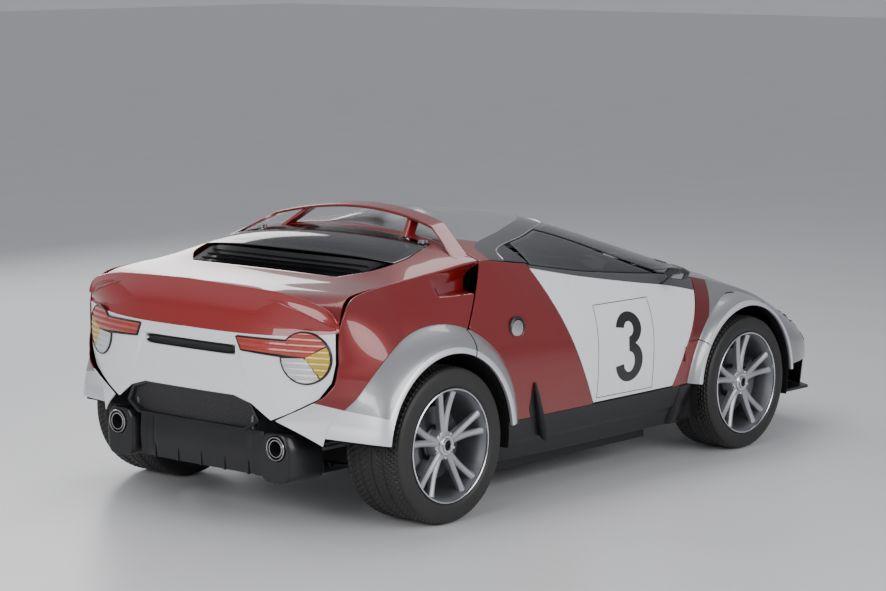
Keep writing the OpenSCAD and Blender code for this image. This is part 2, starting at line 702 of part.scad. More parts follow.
// Hinge line of the bonnet, under the nose, and of the rear clamshell, behind the tail.
lid_hinge = [y_nose + 54, nose_z + 6];
clam_hinge = [y_tail - 50, 455];
lid_arm_x = 312;
clam_arm_x = 361;
arm_t = 14;
module floor_tub() {
  color("dimgray") place() {
    translate([-foot_half, tub_front_y, floor_z])
      cube([2 * foot_half, foot_rear_y - tub_front_y + 1, floor_t]);
    translate([-tub_half, foot_rear_y, floor_z])
      cube([2 * tub_half, tub_rear_y - foot_rear_y, floor_t]);
    both_sides() {
      translate([sill_in_x - 1, foot_rear_y + 70, floor_z])
        cube([sill_out_x - sill_in_x + 1, tub_rear_y - foot_rear_y - 70, 230]);
      translate([foot_half - 20, tub_front_y, floor_z]) cube([20, foot_rear_y - tub_front_y + 1, 480]);
      translate([foot_half - 20, foot_rear_y, floor_z]) cube([sill_in_x - foot_half + 20, 20, 480]);
      translate([sill_in_x - 20, foot_rear_y, floor_z]) cube([20, 100, 480]);
      translate([560, tub_rear_y - 45, floor_z]) cube([60, 45, 1000]);
      // Nose carrier, suspension tower and bonnet hinge lug
      translate([nose_rail_x, y_nose + 75, bumper_low_z]) cube([50, tub_front_y - y_nose - 74, 70]);
      translate([nose_rail_x, ya_f - 170, bumper_low_z]) cube([50, 340, 260]);
      yz_plate(lid_arm_x - 22, 16, [
        [lid_hinge[0] + 18, bumper_low_z + 60], [lid_hinge[0] + 110, bumper_low_z + 60],
        [lid_hinge[0] + 16, lid_hinge[1] + 6], [lid_hinge[0] + 4, lid_hinge[1] + 14],
        [lid_hinge[0] - 12, lid_hinge[1] + 6], [lid_hinge[0] - 12, lid_hinge[1] - 10]
      ]);
      x_pin(lid_arm_x - 22, lid_hinge[0], lid_hinge[1], 6, 22 + arm_t);
      // Engine carrier: rail, suspension tower with a hole for the driveshaft, engine mount, hinge lug
      difference() {
        union() {
          translate([rail_x, tub_rear_y - 1, 225])
            cube([rail_w, valance_y - tub_rear_y + 1 - seat_gap, 60]);
          translate([rail_x, ya_r - 190, 180]) cube([rail_w, 380, 320]);
        }
        translate([rail_x - 1, ya_r, zc_r]) rotate([0, 90, 0]) cylinder(r = 45, h = rail_w + 2, $fn = 48);
      }
      translate([engine_half + seat_gap, tub_rear_y + 180, 225]) cube([rail_x - engine_half, 80, 60]);
      yz_plate(clam_arm_x - 22, 16, [
        [clam_hinge[0] - 140, 284], [valance_y - 2, 284], [valance_y - 2, valance_top_z + 4],
        [clam_hinge[0] + 14, valance_top_z + 4], [clam_hinge[0] + 14, clam_hinge[1] + 14],
        [clam_hinge[0] - 14, clam_hinge[1] + 18]
      ]);
      x_pin(clam_arm_x - 22, clam_hinge[0], clam_hinge[1], 8, 22 + arm_t);
    }
    translate([-foot_half, tub_front_y, floor_z]) cube([2 * foot_half, 20, 480]);
    translate([-sill_in_x, foot_rear_y - 60, floor_z + 440])
      cube([2 * sill_in_x, 60, dash_z - seat_gap - floor_z - 440]);
    translate([-tub_half, tub_rear_y - 20, floor_z]) cube([2 * tub_half, 20, 780]);
  }
}
// Arm that carries the bonnet: it dips under the nose panel and comes up behind its edge.
module bonnet_hinges() {
  ye = [86, 108];
  function under(y) = crown_z(lid_arm_x + arm_t, lid_hinge[0] + y) - skin_t - 2;
  color("gray") place() both_sides() difference() {
    yz_plate(lid_arm_x, arm_t, [
      lid_hinge + [-10, 0], lid_hinge + [-6, 9], lid_hinge + [8, 8], lid_hinge + [26, -52],
      lid_hinge + [84, -50], [lid_hinge[0] + ye[0], under(ye[0])], [lid_hinge[0] + ye[1], under(ye[1])],
      lid_hinge + [106, -72], lid_hinge + [12, -72], lid_hinge + [-8, -10]
    ]);
    translate([lid_arm_x - 1, lid_hinge[0], lid_hinge[1]]) rotate([0, 90, 0])
      cylinder(r = 6.4, h = arm_t + 2, $fn = 32);
  }
}
// Arm that carries the rear clamshell, seated on the inside of the tail panel.
module rear_hinges() {
  y_in = tail_y(clam_arm_x + arm_t) - skin_t - 0.5;
  color("gray") place() both_sides() difference() {
    yz_plate(clam_arm_x, arm_t, [
      clam_hinge + [-16, -14], clam_hinge + [16, -14], clam_hinge + [16, 110], [y_in, 612], [y_in, 680],
      [y_in - 25, 680], clam_hinge + [-16, 80]
    ]);
    translate([clam_arm_x - 1, clam_hinge[0], clam_hinge[1]]) rotate([0, 90, 0])
      cylinder(r = 8.4, h = arm_t + 2, $fn = 32);
  }
}
sill_low_z = 175;
module side_sills() {
  // The front end slants back on the inside, clear of the steered tyre.
  function sill_y(front) = steps(ya_f + front, ya_r - 425, 12);
  zs = steps(sill_low_z, side_low_z - seat_gap, 4);
  color("black") place() both_sides() between(
    [for (y = sill_y(405)) [for (z = zs) [flank_x(y, z) - 0.22 * (side_low_z - z), y, z]]],
    [for (y = sill_y(470)) [for (z = zs) [sill_out_x + seat_gap, y, z]]]
  );
}
module dashboard() {
  color("black") place()
    translate([-560, foot_rear_y - 120, dash_z]) cube([1120, 230, 120]);
}
column_x = 330;
column_z = 700;
column_tilt = 68;
shaft_r = 12;
module on_column(d) {
  translate([column_x, foot_rear_y + 100, column_z]) rotate([-column_tilt, 0, 0])
    translate([0, 0, d]) children();
}
module steering_column() {
  color("gray") place() {
    on_column(19) cylinder(r = 18, h = 131.7, $fn = 32);
    on_column(19) cylinder(r = shaft_r, h = 146, $fn = 32);
  }
}
module steering_wheel() {
  color("black") place() on_column(160) {
    rotate_extrude($fn = 48) translate([165, 0]) circle(r = 14, $fn = 24);
    difference() {
      union() {
        for (a = [0, 180, 270]) rotate([0, 0, a]) translate([0, -14, -5]) cube([160, 28, 8]);
        translate([0, 0, -9]) cylinder(r = 45, h = 30, $fn = 32);
      }
      translate([0, 0, -10]) cylinder(r = shaft_r + 0.4, h = 20, $fn = 32);
    }
  }
}
module seat() {
  translate([120, -200, floor_z + floor_t]) {
    translate([0, 0, 30]) cube([420, 480, 120]);
    translate([30, 0, 0]) cube([360, 400, 30]);
    translate([0, 430, 150]) rotate([-22, 0, 0]) cube([420, 110, 600]);
  }
}
module seat_right() {
  color("black") place() mirror([1, 0, 0]) seat();
}
module seat_left() {
  color("black") place() seat();
}

// --- Engine, gearbox, running gear ---
engine_half = 290;
module engine_block() {
  color("gray") place()
    translate([-engine_half, tub_rear_y + 60, 260]) cube([2 * engine_half, 460, 520]);
}
module gearbox() {
  color("gray") place() translate([-170, tub_rear_y + 520.5, 230]) cube([340, 420, 300]);
}
valance_y = y_tail - 84;
valance_top_z = 430;
tail_pipe = [510, 371];
pipe_r = 52;
housing_r = 56;
module rear_valance() {
  color("black") place() {
    translate([-400 + seat_gap, valance_y, 225]) cube([800 - 2 * seat_gap, 14, valance_top_z - 225]);
    both_sides() difference() {
      hull() {
        translate([400, y_tail - 240, 215]) cube([200, 190, 200]);
        translate([410, y_tail - 240, 215]) cube([170, 205, 225]);
      }
      translate([tail_pipe[0], y_tail - 241, tail_pipe[1]]) rotate([-90, 0, 0])
        cylinder(r = housing_r, h = 220, $fn = 48);
    }
  }
}
module exhausts() {
  color("silver") place() both_sides()
    translate([tail_pipe[0], y_tail - 620, tail_pipe[1]]) rotate([-90, 0, 0]) difference() {
      union() {
        cylinder(r = pipe_r, h = 590, $fn = 48);
        translate([0, 0, 400]) cylinder(r = housing_r - 0.4, h = 40, $fn = 48);
      }
      translate([0, 0, 200]) cylinder(r = pipe_r - 6, h = 400, $fn = 48);
    }
}
// A round bar from point a to point b.
module rod(a, b, r) {
  d = b - a;
  translate(a) rotate([0, acos(d[2] / norm(d)), atan2(d[1], d[0])])
    cylinder(r = r, h = norm(d), $fn = 24);
}
pivot_r = 14;
module wishbone(inner_x, outer_x, yc, z, spread) {
  for (s = [-1, 1]) {
    rod([inner_x + pivot_r + seat_gap, yc + s * spread, z], [outer_x, yc, z], 11);
    translate([inner_x + pivot_r + seat_gap, yc + s * spread - 20, z]) rotate([-90, 0, 0])
      cylinder(r = pivot_r, h = 40, $fn = 32);
  }
  translate([outer_x, yc, z - boss_h / 2]) cylinder(r = boss_r, h = boss_h, $fn = 32);
}
boss_r = 22;
module front_wishbones() {
  color("gray") place() both_sides() {
    wishbone(nose_rail_x + 50, king_x, ya_f, arm_low_z, 130);
    wishbone(nose_rail_x + 50, king_x, ya_f, arm_high_z, 110);
  }
}
upright_x = 620;
module rear_wishbones() {
  color("gray") place() both_sides() {
    wishbone(rail_x + rail_w, upright_x - boss_r - seat_gap, ya_r, 215, 150);
    wishbone(rail_x + rail_w, upright_x - boss_r - seat_gap, ya_r, 470, 120);
  }
}
module rear_uprights() {
  color("gray") place() both_sides() {
    translate([upright_x, ya_r - 45, 190]) cube([40, 90, 310]);
    translate([upright_x + 40, ya_r, zc_r]) rotate([0, 90, 0]) cylinder(r = stub_r, h = 190, $fn = 48);
  }
}
module driveshafts() {
  color("gray") place() both_sides()
    translate([170 + seat_gap, ya_r, zc_r]) rotate([0, 90, 0])
      cylinder(r = 20, h = upright_x - 170 - 2 * seat_gap, $fn = 32);
}
king_x = 620;
arm_low_z = 215;
arm_high_z = 430;
boss_h = 32;
module knuckle() {
  translate([king_x, ya_f, arm_low_z + boss_h / 2 + seat_gap])
    cylinder(r = 18, h = arm_high_z - arm_low_z - boss_h - 2 * seat_gap, $fn = 32);
  translate([king_x + 10, ya_f - 35, arm_low_z + boss_h / 2 + 12])
    cube([45, 70, arm_high_z - arm_low_z - boss_h - 24]);
  translate([king_x + 50, ya_f, zc_f]) rotate([0, 90, 0]) cylinder(r = stub_r, h = 215, $fn = 48);
}
module knuckle_right() {
  color("gray") place() mirror([1, 0, 0]) knuckle();
}
module knuckle_left() {
  color("gray") place() knuckle();
}

// --- Wheels: outer face at x, built about the axle ---
module rim(face_x, w) {
  hub_in = w - 90;
  rotate([0, 90, 0]) {
    rotate_extrude($fn = 96) polygon([
      [rim_r, face_x - 10], [rim_r, face_x - 26], [rim_r - 22, face_x - 34],
      [rim_r - 30, face_x - w / 2], [rim_r - 22, face_x - w + 26], [rim_r, face_x - w + 16],
      [rim_r, face_x - w + 8], [rim_r - 36, face_x - w + 14], [rim_r - 42, face_x - w / 2],
      [rim_r - 30, face_x - 30], [rim_r - 12, face_x - 12]
    ]);
    for (k = [0 : spokes - 1], side = [-1, 1]) rotate([0, 0, k * 360 / spokes + 18 + side * 9])
      translate([50, -9 + side * 6, face_x - 62]) cube([rim_r - 80, 18, 26]);
    rotate_extrude($fn = 64) polygon([
      [stub_r + 0.5, face_x - hub_in], [70, face_x - hub_in], [70, face_x - 34],
      [stub_r + 12, face_x - 28], [stub_r + 0.5, face_x - 28]
    ]);
  }
}
module tyre(face_x, w, r) {
  color([0.12, 0.12, 0.12]) rotate([0, 90, 0]) rotate_extrude($fn = 96) polygon([
    [rim_r + 0.5, face_x - 12], [rim_r + 22, face_x], [r - 22, face_x - 4], [r - 5, face_x - 18],
    [r, face_x - 40], [r, face_x - w + 40], [r - 5, face_x - w + 18], [r - 22, face_x - w + 4],
    [rim_r + 22, face_x - w], [rim_r + 0.5, face_x - w + 12]
  ]);
}
module rim_front_right() {
  color("silver") place() translate([0, ya_f, zc_f]) mirror([1, 0, 0]) rim(front_face_x, front_tyre_w);
}
module rim_front_left() {
  color("silver") place() translate([0, ya_f, zc_f]) rim(front_face_x, front_tyre_w);
}
module rim_rear_right() {
  color("silver") place() translate([0, ya_r, zc_r]) mirror([1, 0, 0]) rim(rear_face_x, rear_tyre_w);
}
module rim_rear_left() {
  color("silver") place() translate([0, ya_r, zc_r]) rim(rear_face_x, rear_tyre_w);
}
module tyre_front_right() {
  place() translate([0, ya_f, zc_f]) mirror([1, 0, 0]) tyre(front_face_x, front_tyre_w, front_tyre_r);
}
module tyre_front_left() {
  place() translate([0, ya_f, zc_f]) tyre(front_face_x, front_tyre_w, front_tyre_r);
}
module tyre_rear_right() {
  place() translate([0, ya_r, zc_r]) mirror([1, 0, 0]) tyre(rear_face_x, rear_tyre_w, rear_tyre_r);
}
module tyre_rear_left() {
  place() translate([0, ya_r, zc_r]) tyre(rear_face_x, rear_tyre_w, rear_tyre_r);
}

// --- Drawing ---
floor_tub();
side_sills();
roof_panel();
windscreen();
cowl();
quarter_right();
quarter_left();
front_lower_wings();
front_bumper();
splitter();
rear_valance();
exhausts();
engine_block();
gearbox();
rear_wishbones();
rear_uprights();
driveshafts();
front_wishbones();
dashboard();
steering_column();
seat_right();
seat_left();
bonnet();
bonnet_hinges();
nose_panel();
front_fenders();
front_flares();
headlamps();
rear_deck();
rear_quarters();
rear_flares();
ducktail();
tail_panel();
tail_lamps();
roof_hoop();
louvre_panel();
rear_window();
rear_hinges();
door_right();
door_left();
door_glass_right();
door_glass_left();
mirror_right();
mirror_left();
door_hinges();
knuckle_right();
knuckle_left();
steering_wheel();
rim_front_right();
rim_front_left();
rim_rear_right();
rim_rear_left();
tyre_front_right();
tyre_front_left();
tyre_rear_right();
tyre_rear_left();
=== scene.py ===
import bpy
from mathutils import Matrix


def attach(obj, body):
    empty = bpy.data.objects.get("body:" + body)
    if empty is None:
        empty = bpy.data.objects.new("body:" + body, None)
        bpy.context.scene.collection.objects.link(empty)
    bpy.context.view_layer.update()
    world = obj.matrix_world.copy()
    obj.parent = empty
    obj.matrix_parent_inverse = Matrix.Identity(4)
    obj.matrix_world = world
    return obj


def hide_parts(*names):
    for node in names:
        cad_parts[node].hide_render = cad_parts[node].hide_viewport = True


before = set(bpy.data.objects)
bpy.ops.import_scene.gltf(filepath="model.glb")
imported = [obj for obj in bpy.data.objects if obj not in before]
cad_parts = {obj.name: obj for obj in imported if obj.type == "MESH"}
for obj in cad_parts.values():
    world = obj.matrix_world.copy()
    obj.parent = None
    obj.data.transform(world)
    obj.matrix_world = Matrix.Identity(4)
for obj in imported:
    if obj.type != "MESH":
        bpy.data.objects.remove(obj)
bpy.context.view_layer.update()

import math

import bpy
import numpy as np

# --- Camera, floor and light ---
# The car stands on a wide, plain, pale floor. A long soft box hangs over it and broad ones
# stand at both sides and behind the tail. The camera looks at the right-hand rear corner.
camera = bpy.data.objects.new("camera", bpy.data.cameras.new("camera"))
bpy.context.scene.collection.objects.link(camera)
camera.location = (-8.5812, 10.0682, 2.6013)
camera.rotation_euler = (math.radians(90 - 7.761), 0, math.radians(180 + 41.187))
camera.data.sensor_width = 36
camera.data.lens = 108.66
bpy.context.scene.camera = camera


def put(tree, kind, inputs=None, **settings):
    """Adds one node to a tree, with its settings; an input is a value or another node's output."""
    made = tree.nodes.new(kind)
    for name, value in settings.items():
        setattr(made, name, value)
    for name, value in (inputs or {}).items():
        socket = made.inputs[name]
        if isinstance(value, bpy.types.NodeSocket):
            tree.links.new(value, socket)
        else:
            socket.default_value = value
    return made


def linear(code, alpha=1.0):
    """Turns an sRGB hex colour into linear light."""
    parts = [int(code[i : i + 2], 16) / 255 for i in (1, 3, 5)]
    return tuple(c / 12.92 if c <= 0.04045 else ((c + 0.055) / 1.055) ** 2.4 for c in parts) + (alpha,)


def blank(name):
    """A material with its node tree, its principled shader and its object coordinates."""
    material = bpy.data.materials.new(name)
    material.use_nodes = True
    tree = material.node_tree
    return material, tree, tree.nodes["Principled BSDF"], tree.nodes.new("ShaderNodeTexCoord").outputs["Object"]


def grid_mesh(name, sheets, body, material, smooth=40, replaces=()):
    """One piece from several sheets: each is a grid of points with two flags, one for closing each way."""
    verts, faces, start = [], [], 0
    for points, wrap_a, wrap_b in sheets:
        n, m = points.shape[:2]
        a = np.arange(n if wrap_a else n - 1)
        b = np.arange(m if wrap_b else m - 1)
        a, b = np.meshgrid(a, b, indexing="ij")
        a2, b2 = (a + 1) % n, (b + 1) % m
        quads = np.stack([a * m + b, a2 * m + b, a2 * m + b2, a * m + b2], -1).reshape(-1, 4)
        verts.append(points.reshape(-1, 3))
        faces.append(quads + start)
        start += n * m
    mesh = bpy.data.meshes.new(name)
    points = (np.concatenate(verts) + (0, 167.5, 0)) / 1000
    mesh.from_pydata(points.tolist(), [], np.concatenate(faces).tolist())
    return finish_mesh(name, mesh, body, material, smooth, replaces)


def finish_mesh(name, mesh, body, material, smooth=40, replaces=()):
    """Welds the seams of a mesh, turns its faces outwards and makes it a piece that rides on a body."""
    import bmesh

    bm = bmesh.new()
    bm.from_mesh(mesh)
    bmesh.ops.remove_doubles(bm, verts=bm.verts, dist=2e-5)
    bmesh.ops.dissolve_degenerate(bm, dist=1e-6, edges=bm.edges)
    bmesh.ops.recalc_face_normals(bm, faces=bm.faces)
    bm.to_mesh(mesh)
    bm.free()
    mesh.polygons.foreach_set("use_smooth", np.ones(len(mesh.polygons), bool))
    mesh.set_sharp_from_angle(angle=math.radians(smooth))
    mesh.materials.append(material)
    piece = bpy.data.objects.new(name, mesh)
    bpy.context.scene.collection.objects.link(piece)
    if body is None:
        return piece
    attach(piece, body)
    if replaces:
        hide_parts(*replaces)
    return piece


# Matt painted board: a very slight mottle, so that it isn't one flat tone.
board, tree, shader, where = blank("matt_painted_board")
mottle = put(tree, "ShaderNodeTexNoise", {"Vector": where, "Scale": 1.3, "Detail": 6.0})
tone = put(tree, "ShaderNodeMix", {"Factor": mottle.outputs[0], "A": linear("#D9D9DB"), "B": linear("#E2E2E4")},
           data_type="RGBA")
tree.links.new(tone.outputs["Result"], shader.inputs["Base Color"])
shader.inputs["Roughness"].default_value = 0.34
shader.inputs["Specular IOR Level"].default_value = 0.35
u, v = np.meshgrid(np.linspace(-1, 1, 40), np.linspace(0, 1, 60), indexing="ij")
grid_mesh("studio_floor", [(np.stack([u * 60000, (v - 0.5) * 120000, 0 * u], -1), False, False)], None, board)

world = bpy.data.worlds.new("studio")
bpy.context.scene.world = world
world.use_nodes = True
world.node_tree.nodes["Background"].inputs["Color"].default_value = linear("#DDE0E6")
world.node_tree.nodes["Background"].inputs["Strength"].default_value = 0.5
for name, place, turn, size, power in (
    ("box_over", (0.6, -0.6, 4.6), (0, 0, 0), (2.0, 6.0), 90),
    ("box_right", (-7.0, 1.5, 3.2), (0, -68, 0), (3.0, 7.0), 300),
    ("box_tail", (-0.5, 8.5, 3.4), (-66, 0, 0), (6.0, 2.6), 270),
    ("box_left", (7.0, -1.5, 3.4), (0, 66, 0), (3.0, 7.0), 230),
):
    lamp = bpy.data.lights.new(name, "AREA")
    lamp.shape = "RECTANGLE"
    lamp.size, lamp.size_y = size
    lamp.energy = power
    lamp_object = bpy.data.objects.new(name, lamp)
    bpy.context.scene.collection.objects.link(lamp_object)
    lamp_object.location = place
    lamp_object.visible_camera = False
    lamp_object.rotation_euler = [math.radians(a) for a in turn]

# --- Bonnet ---
# A wide thin lid of moulded composite, painted metallic silver and lacquered. It is hinged
# under the nose panel and carries two pairs of black vents near the windscreen.
y_nose, y_tail, ya_f, ya_r = -2150.0, 1815.0, -1155.0, 1155.0
top_line = [(-2150, 440), (-2090, 502), (-1950, 565), (-1500, 756.2), (-1215, 875), (-1130, 913),
            (-670, 1083.5),
            (-330, 1195.955), (-100, 1243), (250, 1262), (650, 1250), (800, 1230), (1060, 1193.92),
                (1350, 1083),
            (1600, 1045), (1700, 1050), (1815, 1078)]
shoulder_x = [(-2150, 560), (-2050, 640), (-1850, 735), (-1500, 800), (-1155, 815), (-800, 812), (-400, 800),
              (500, 798), (750, 785), (1000, 765), (1300, 745), (1550, 745), (1620, 765), (1685, 800)]
shoulder_z = [(-2150, 400), (-2050, 465), (-1850, 560), (-1650, 650), (-1400, 755), (-1155, 825), (-900, 885),
              (-600, 940), (-365, 965), (0, 1008), (200, 1040), (450, 1083), (750, 1120), (1000, 1095),
                  (1300, 1065),
              (1550, 1040), (1620, 1010), (1660, 960), (1685, 900)]
crown_angle = [(-2150, 80), (-1155, 75), (-800, 62), (-400, 55), (0, 55), (500, 58), (800, 60), (1200, 70),
               (1685, 75)]
waist_x = [(-2150, 600), (-2050, 700), (-1900, 800), (-1700, 870), (-1400, 905), (-1155, 915), (-700, 922),
           (-300, 925), (700, 925), (1155, 930), (1450, 905)]
waist_z = [(-2150, 360), (-1455, 520), (-755, 600), (1155, 620), (1815, 620)]


def mix(a, b, t):
    return a + (b - a) * t


def curve(table, y):
    """A smooth line through stations: cubic pieces whose slopes are those between the neighbours."""
    t = np.asarray(table, float)
    y = np.asarray(y, float)
    i = np.clip(np.searchsorted(t[:, 0], y, "right") - 1, 0, len(t) - 2)
    lo, hi = np.maximum(np.arange(len(t)) - 1, 0), np.minimum(np.arange(len(t)) + 1, len(t) - 1)
    slope = (t[hi, 1] - t[lo, 1]) / (t[hi, 0] - t[lo, 0])
    h = t[i + 1, 0] - t[i, 0]
    w = np.clip((y - t[i, 0]) / h, 0, 1)
    a, b, da, db = t[i, 1], t[i + 1, 1], slope[i] * h, slope[i + 1] * h
    return a + w * (da + w * (3 * (b - a) - 2 * da - db + w * (2 * (a - b) + da + db)))


def crown(y, s):
    """The upper body: at each station a circular arch from shoulder to shoulder, s = -1 to 1."""
    y, s = np.broadcast_arrays(np.asarray(y, float), np.asarray(s, float))
    a = np.radians(curve(crown_angle, y))
    low, high = curve(shoulder_z, y), curve(top_line, y)
    k = s * a
    return np.stack([curve(shoulder_x, y) * np.sin(k) / np.sin(a), y,
                     low + (high - low) * (np.cos(k) - np.cos(a)) / (1 - np.cos(a))], -1)


def normals(points):
    """Unit normals of a grid, from the cross product of its two directions."""
    n = np.cross(np.gradient(points, axis=0), np.gradient(points, axis=1))
    return n / np.maximum(np.linalg.norm(n, axis=-1, keepdims=True), 1e-9)


def padded_rows(points, n, r, t):
    """Adds four rows at both ends of a grid, set on a quarter circle of radius r, and the same inside."""
    outer, inner = points, points - n * t
    for flip in (False, True):
        if flip:
            outer, inner, n = outer[::-1], inner[::-1], n[::-1]
        step = outer[1] - outer[0]
        step = step / np.maximum(np.linalg.norm(step, axis=-1, keepdims=True), 1e-9)
        turn = np.radians([0, 30, 60, 90])
        ahead = [outer[0] + step * r * (1 - np.cos(a)) - n[0] * r * (1 - np.sin(a)) for a in turn]
        under = [inner[0] + step * r * (1 - np.cos(a)) for a in turn]
        outer = np.concatenate([ahead, outer[1:]])
        inner = np.concatenate([under, inner[1:]])
        n = np.concatenate([np.repeat(n[:1], 4, 0), n[1:]])
        if flip:
            outer, inner, n = outer[::-1], inner[::-1], n[::-1]
    return outer, inner, n


def panel(name, points, body, material, t=4.0, r=2.5, wrap=False, replaces=(), mirror=False,
          out=(0, 0, 1),
          fields=None, smooth=50):
    """A moulded skin: a grid of outer points, rolled edges, and the same grid set inwards by t."""
    sheets, tags = [], []
    for side in ((1, -1) if mirror else (1,)):
        p = points * (side, 1, 1)
        n = normals(p)
        if wrap:
            q = np.concatenate([p[-1:], p, p[:1]])
            n = normals(q)[1:-1]
        away = np.array(out) * (side, 1, 1)
        if (n.reshape(-1, 3) @ away).sum() < 0:
            n = -n
        if not wrap:
            p, inner, n = padded_rows(p, n, r, t)
        else:
            inner = p - n * t
        p2, inner2 = np.swapaxes(p, 0, 1), np.swapaxes(inner, 0, 1)
        o = padded_rows(p2, np.swapaxes(n, 0, 1), r, 0)[0]
        step_rows = [inner2[0]] * 4 + list(inner2[1:-1]) + [inner2[-1]] * 4
        o, i = np.swapaxes(o, 0, 1), np.swapaxes(np.array(step_rows), 0, 1)
        sheets += [(o, wrap, False), (i, wrap, False)]
        for a, b in ((o[:, :1], i[:, :1]), (o[:, -1:], i[:, -1:])):
            sheets.append((np.concatenate([a, b], 1), wrap, False))
        if not wrap:
            for a, b in ((o[:1], i[:1]), (o[-1:], i[-1:])):
                sheets.append((np.concatenate([a, b], 0), False, False))
    piece = grid_mesh(name, sheets, body, material, smooth, replaces)
    if fields:
        place_fields(piece, fields)
    return piece


def place_fields(piece, fields):
    """Stores how far each point lies inside a painted area, as one named value per area."""
    mesh = piece.data
    co = np.empty(len(mesh.vertices) * 3, np.float32)
    mesh.vertices.foreach_get("co", co)
    co = co.reshape(-1, 3).astype(float) * 1000 - (0, 167.5, 0)
    for name, rule in fields.items():
        mesh.attributes.new(name, "FLOAT", "POINT").data.foreach_set("value", rule(co).astype(np.float32))


def paint(name, code, metallic=0.0, rough=0.3, areas=(), flake=0.0, dust=0.10):
    """Lacquered body paint: base colour, painted areas by named values, flake, dust low down, fine ripple."""
    material, tree, shader, where = blank(name)
    flakes = put(tree, "ShaderNodeTexNoise", {"Vector": where, "Scale": 900.0, "Detail": 2.0})
    cloud = put(tree, "ShaderNodeTexNoise", {"Vector": where, "Scale": 5.0, "Detail": 5.0})
    dark = put(tree, "ShaderNodeMix", {"Factor": flakes.outputs[0],
                                       "A": tuple(c * (1 - flake) for c in linear(code)[:3]) + (1,),
                                       "B": tuple(min(c * (1 + flake), 1) for c in linear(code)[:3]) + (1,)},
                                           data_type="RGBA")
    colour = dark.outputs["Result"]
    for area, shade in areas:
        value = put(tree, "ShaderNodeAttribute", attribute_name=area)
        inside = put(tree, "ShaderNodeMath", {0: value.outputs["Fac"], 1: 0.0}, operation="GREATER_THAN")
        colour = put(tree, "ShaderNodeMix", {"Factor": inside.outputs[0], "A": colour, "B": linear(shade)},
                     data_type="RGBA").outputs["Result"]
    height = put(tree, "ShaderNodeSeparateXYZ", {0: where})
    low = put(tree, "ShaderNodeMapRange", {"Value": height.outputs["Z"], "From Min": 0.75, "From Max": 0.2,
                                           "To Min": 0.0, "To Max": dust})
    film = put(tree, "ShaderNodeMath", {0: low.outputs[0], 1: cloud.outputs[0]}, operation="MULTIPLY")
    colour = put(tree, "ShaderNodeMix", {"Factor": film.outputs[0], "A": colour, "B": linear("#8C857A")},
                 data_type="RGBA").outputs["Result"]
    tree.links.new(colour, shader.inputs["Base Color"])
    polish = put(tree, "ShaderNodeMapRange", {"Value": cloud.outputs[0], "To Min": rough - 0.04,
                                              "To Max": rough + 0.05})
    tree.links.new(polish.outputs[0], shader.inputs["Roughness"])
    ripple = put(tree, "ShaderNodeTexNoise", {"Vector": where, "Scale": 160.0, "Detail": 1.0})
    bump = put(tree, "ShaderNodeBump", {"Height": ripple.outputs[0], "Strength": 0.02, "Distance": 0.001})
    tree.links.new(bump.outputs[0], shader.inputs["Normal"])
    shader.inputs["Metallic"].default_value = metallic
    shader.inputs["Coat Weight"].default_value = 1.0
    shader.inputs["Coat Roughness"].default_value = 0.03
    shader.inputs["Coat IOR"].default_value = 1.5
    return material


# Metallic silver lacquer: fine aluminium flake under clear coat, so it darkens as it turns away.
silver = paint("silver_metallic_lacquer", "#9A9B9E", 0.75, 0.36, flake=0.10)
foot_power, foot_depth, foot_rear_line, cowl_reach = 2.3, 850.0, ya_f + 855, 820.0
gap = 6.5
edge_s = 0.995


def foot_pt(t, grow):
    """Foot of the windscreen: a superellipse swept back round the sides, by its angle."""
    t = np.radians(t)
    return (np.clip((1 + grow / cowl_reach) * np.sign(t) * np.abs(np.sin(t)) ** (2 / foot_power), -0.99, 0.99),
            foot_rear_line - (foot_depth + grow) * np.cos(t) ** (2 / foot_power))


def foot_y(s, grow=0.0):
    """The same line, by its place across the car."""
    inside = np.maximum(1 - (np.abs(s) / (1 + grow / cowl_reach)) ** foot_power, 0)
    return foot_rear_line - (foot_depth + grow) * inside ** (1 / foot_power)


def nose_edge_y(s):
    return y_nose + 105 * np.abs(s) ** 3


lid_s = 0.8
s, v = np.meshgrid(np.linspace(-lid_s, lid_s, 60), np.linspace(0, 1, 70), indexing="ij")
lid = crown(mix(nose_edge_y(s) + 96, foot_y(s, 50 + gap + 2), v), s)
panel("bonnet_skin", lid, "bonnet_lid", silver, 8, replaces=("bonnet",))

# --- Bonnet vents ---
# Slots with a black moulded frame and slanted blades, two in line on each half. As placed they
# ride on the bonnet but lie behind its rear edge, mostly under the windscreen.
black_plastic, tree, shader, where = blank("moulded_black_plastic")
grain = put(tree, "ShaderNodeTexNoise", {"Vector": where, "Scale": 420.0, "Detail": 3.0})
haze = put(tree, "ShaderNodeTexNoise", {"Vector": where, "Scale": 7.0, "Detail": 5.0})
tone = put(tree, "ShaderNodeMix", {"Factor": haze.outputs[0], "A": linear("#121214"), "B": linear("#222225")},
           data_type="RGBA")
tree.links.new(tone.outputs["Result"], shader.inputs["Base Color"])
polish = put(tree, "ShaderNodeMapRange", {"Value": haze.outputs[0], "To Min": 0.26, "To Max": 0.42})
tree.links.new(polish.outputs[0], shader.inputs["Roughness"])
bump = put(tree, "ShaderNodeBump", {"Height": grain.outputs[0], "Strength": 0.12, "Distance": 0.0006})
tree.links.new(bump.outputs[0], shader.inputs["Normal"])


def strip_on(rule, a, b, c, d, rows=16, cols=6):
    """A strip of a surface given by rule(p, q), between p = a..b and q = c..d, with its normals."""
    p, q = np.meshgrid(np.linspace(a, b, rows), np.linspace(c, d, cols), indexing="ij")
    points = rule(p, q)
    n = normals(points)
    return points, np.where((n[..., 2:] < 0), -n, n)


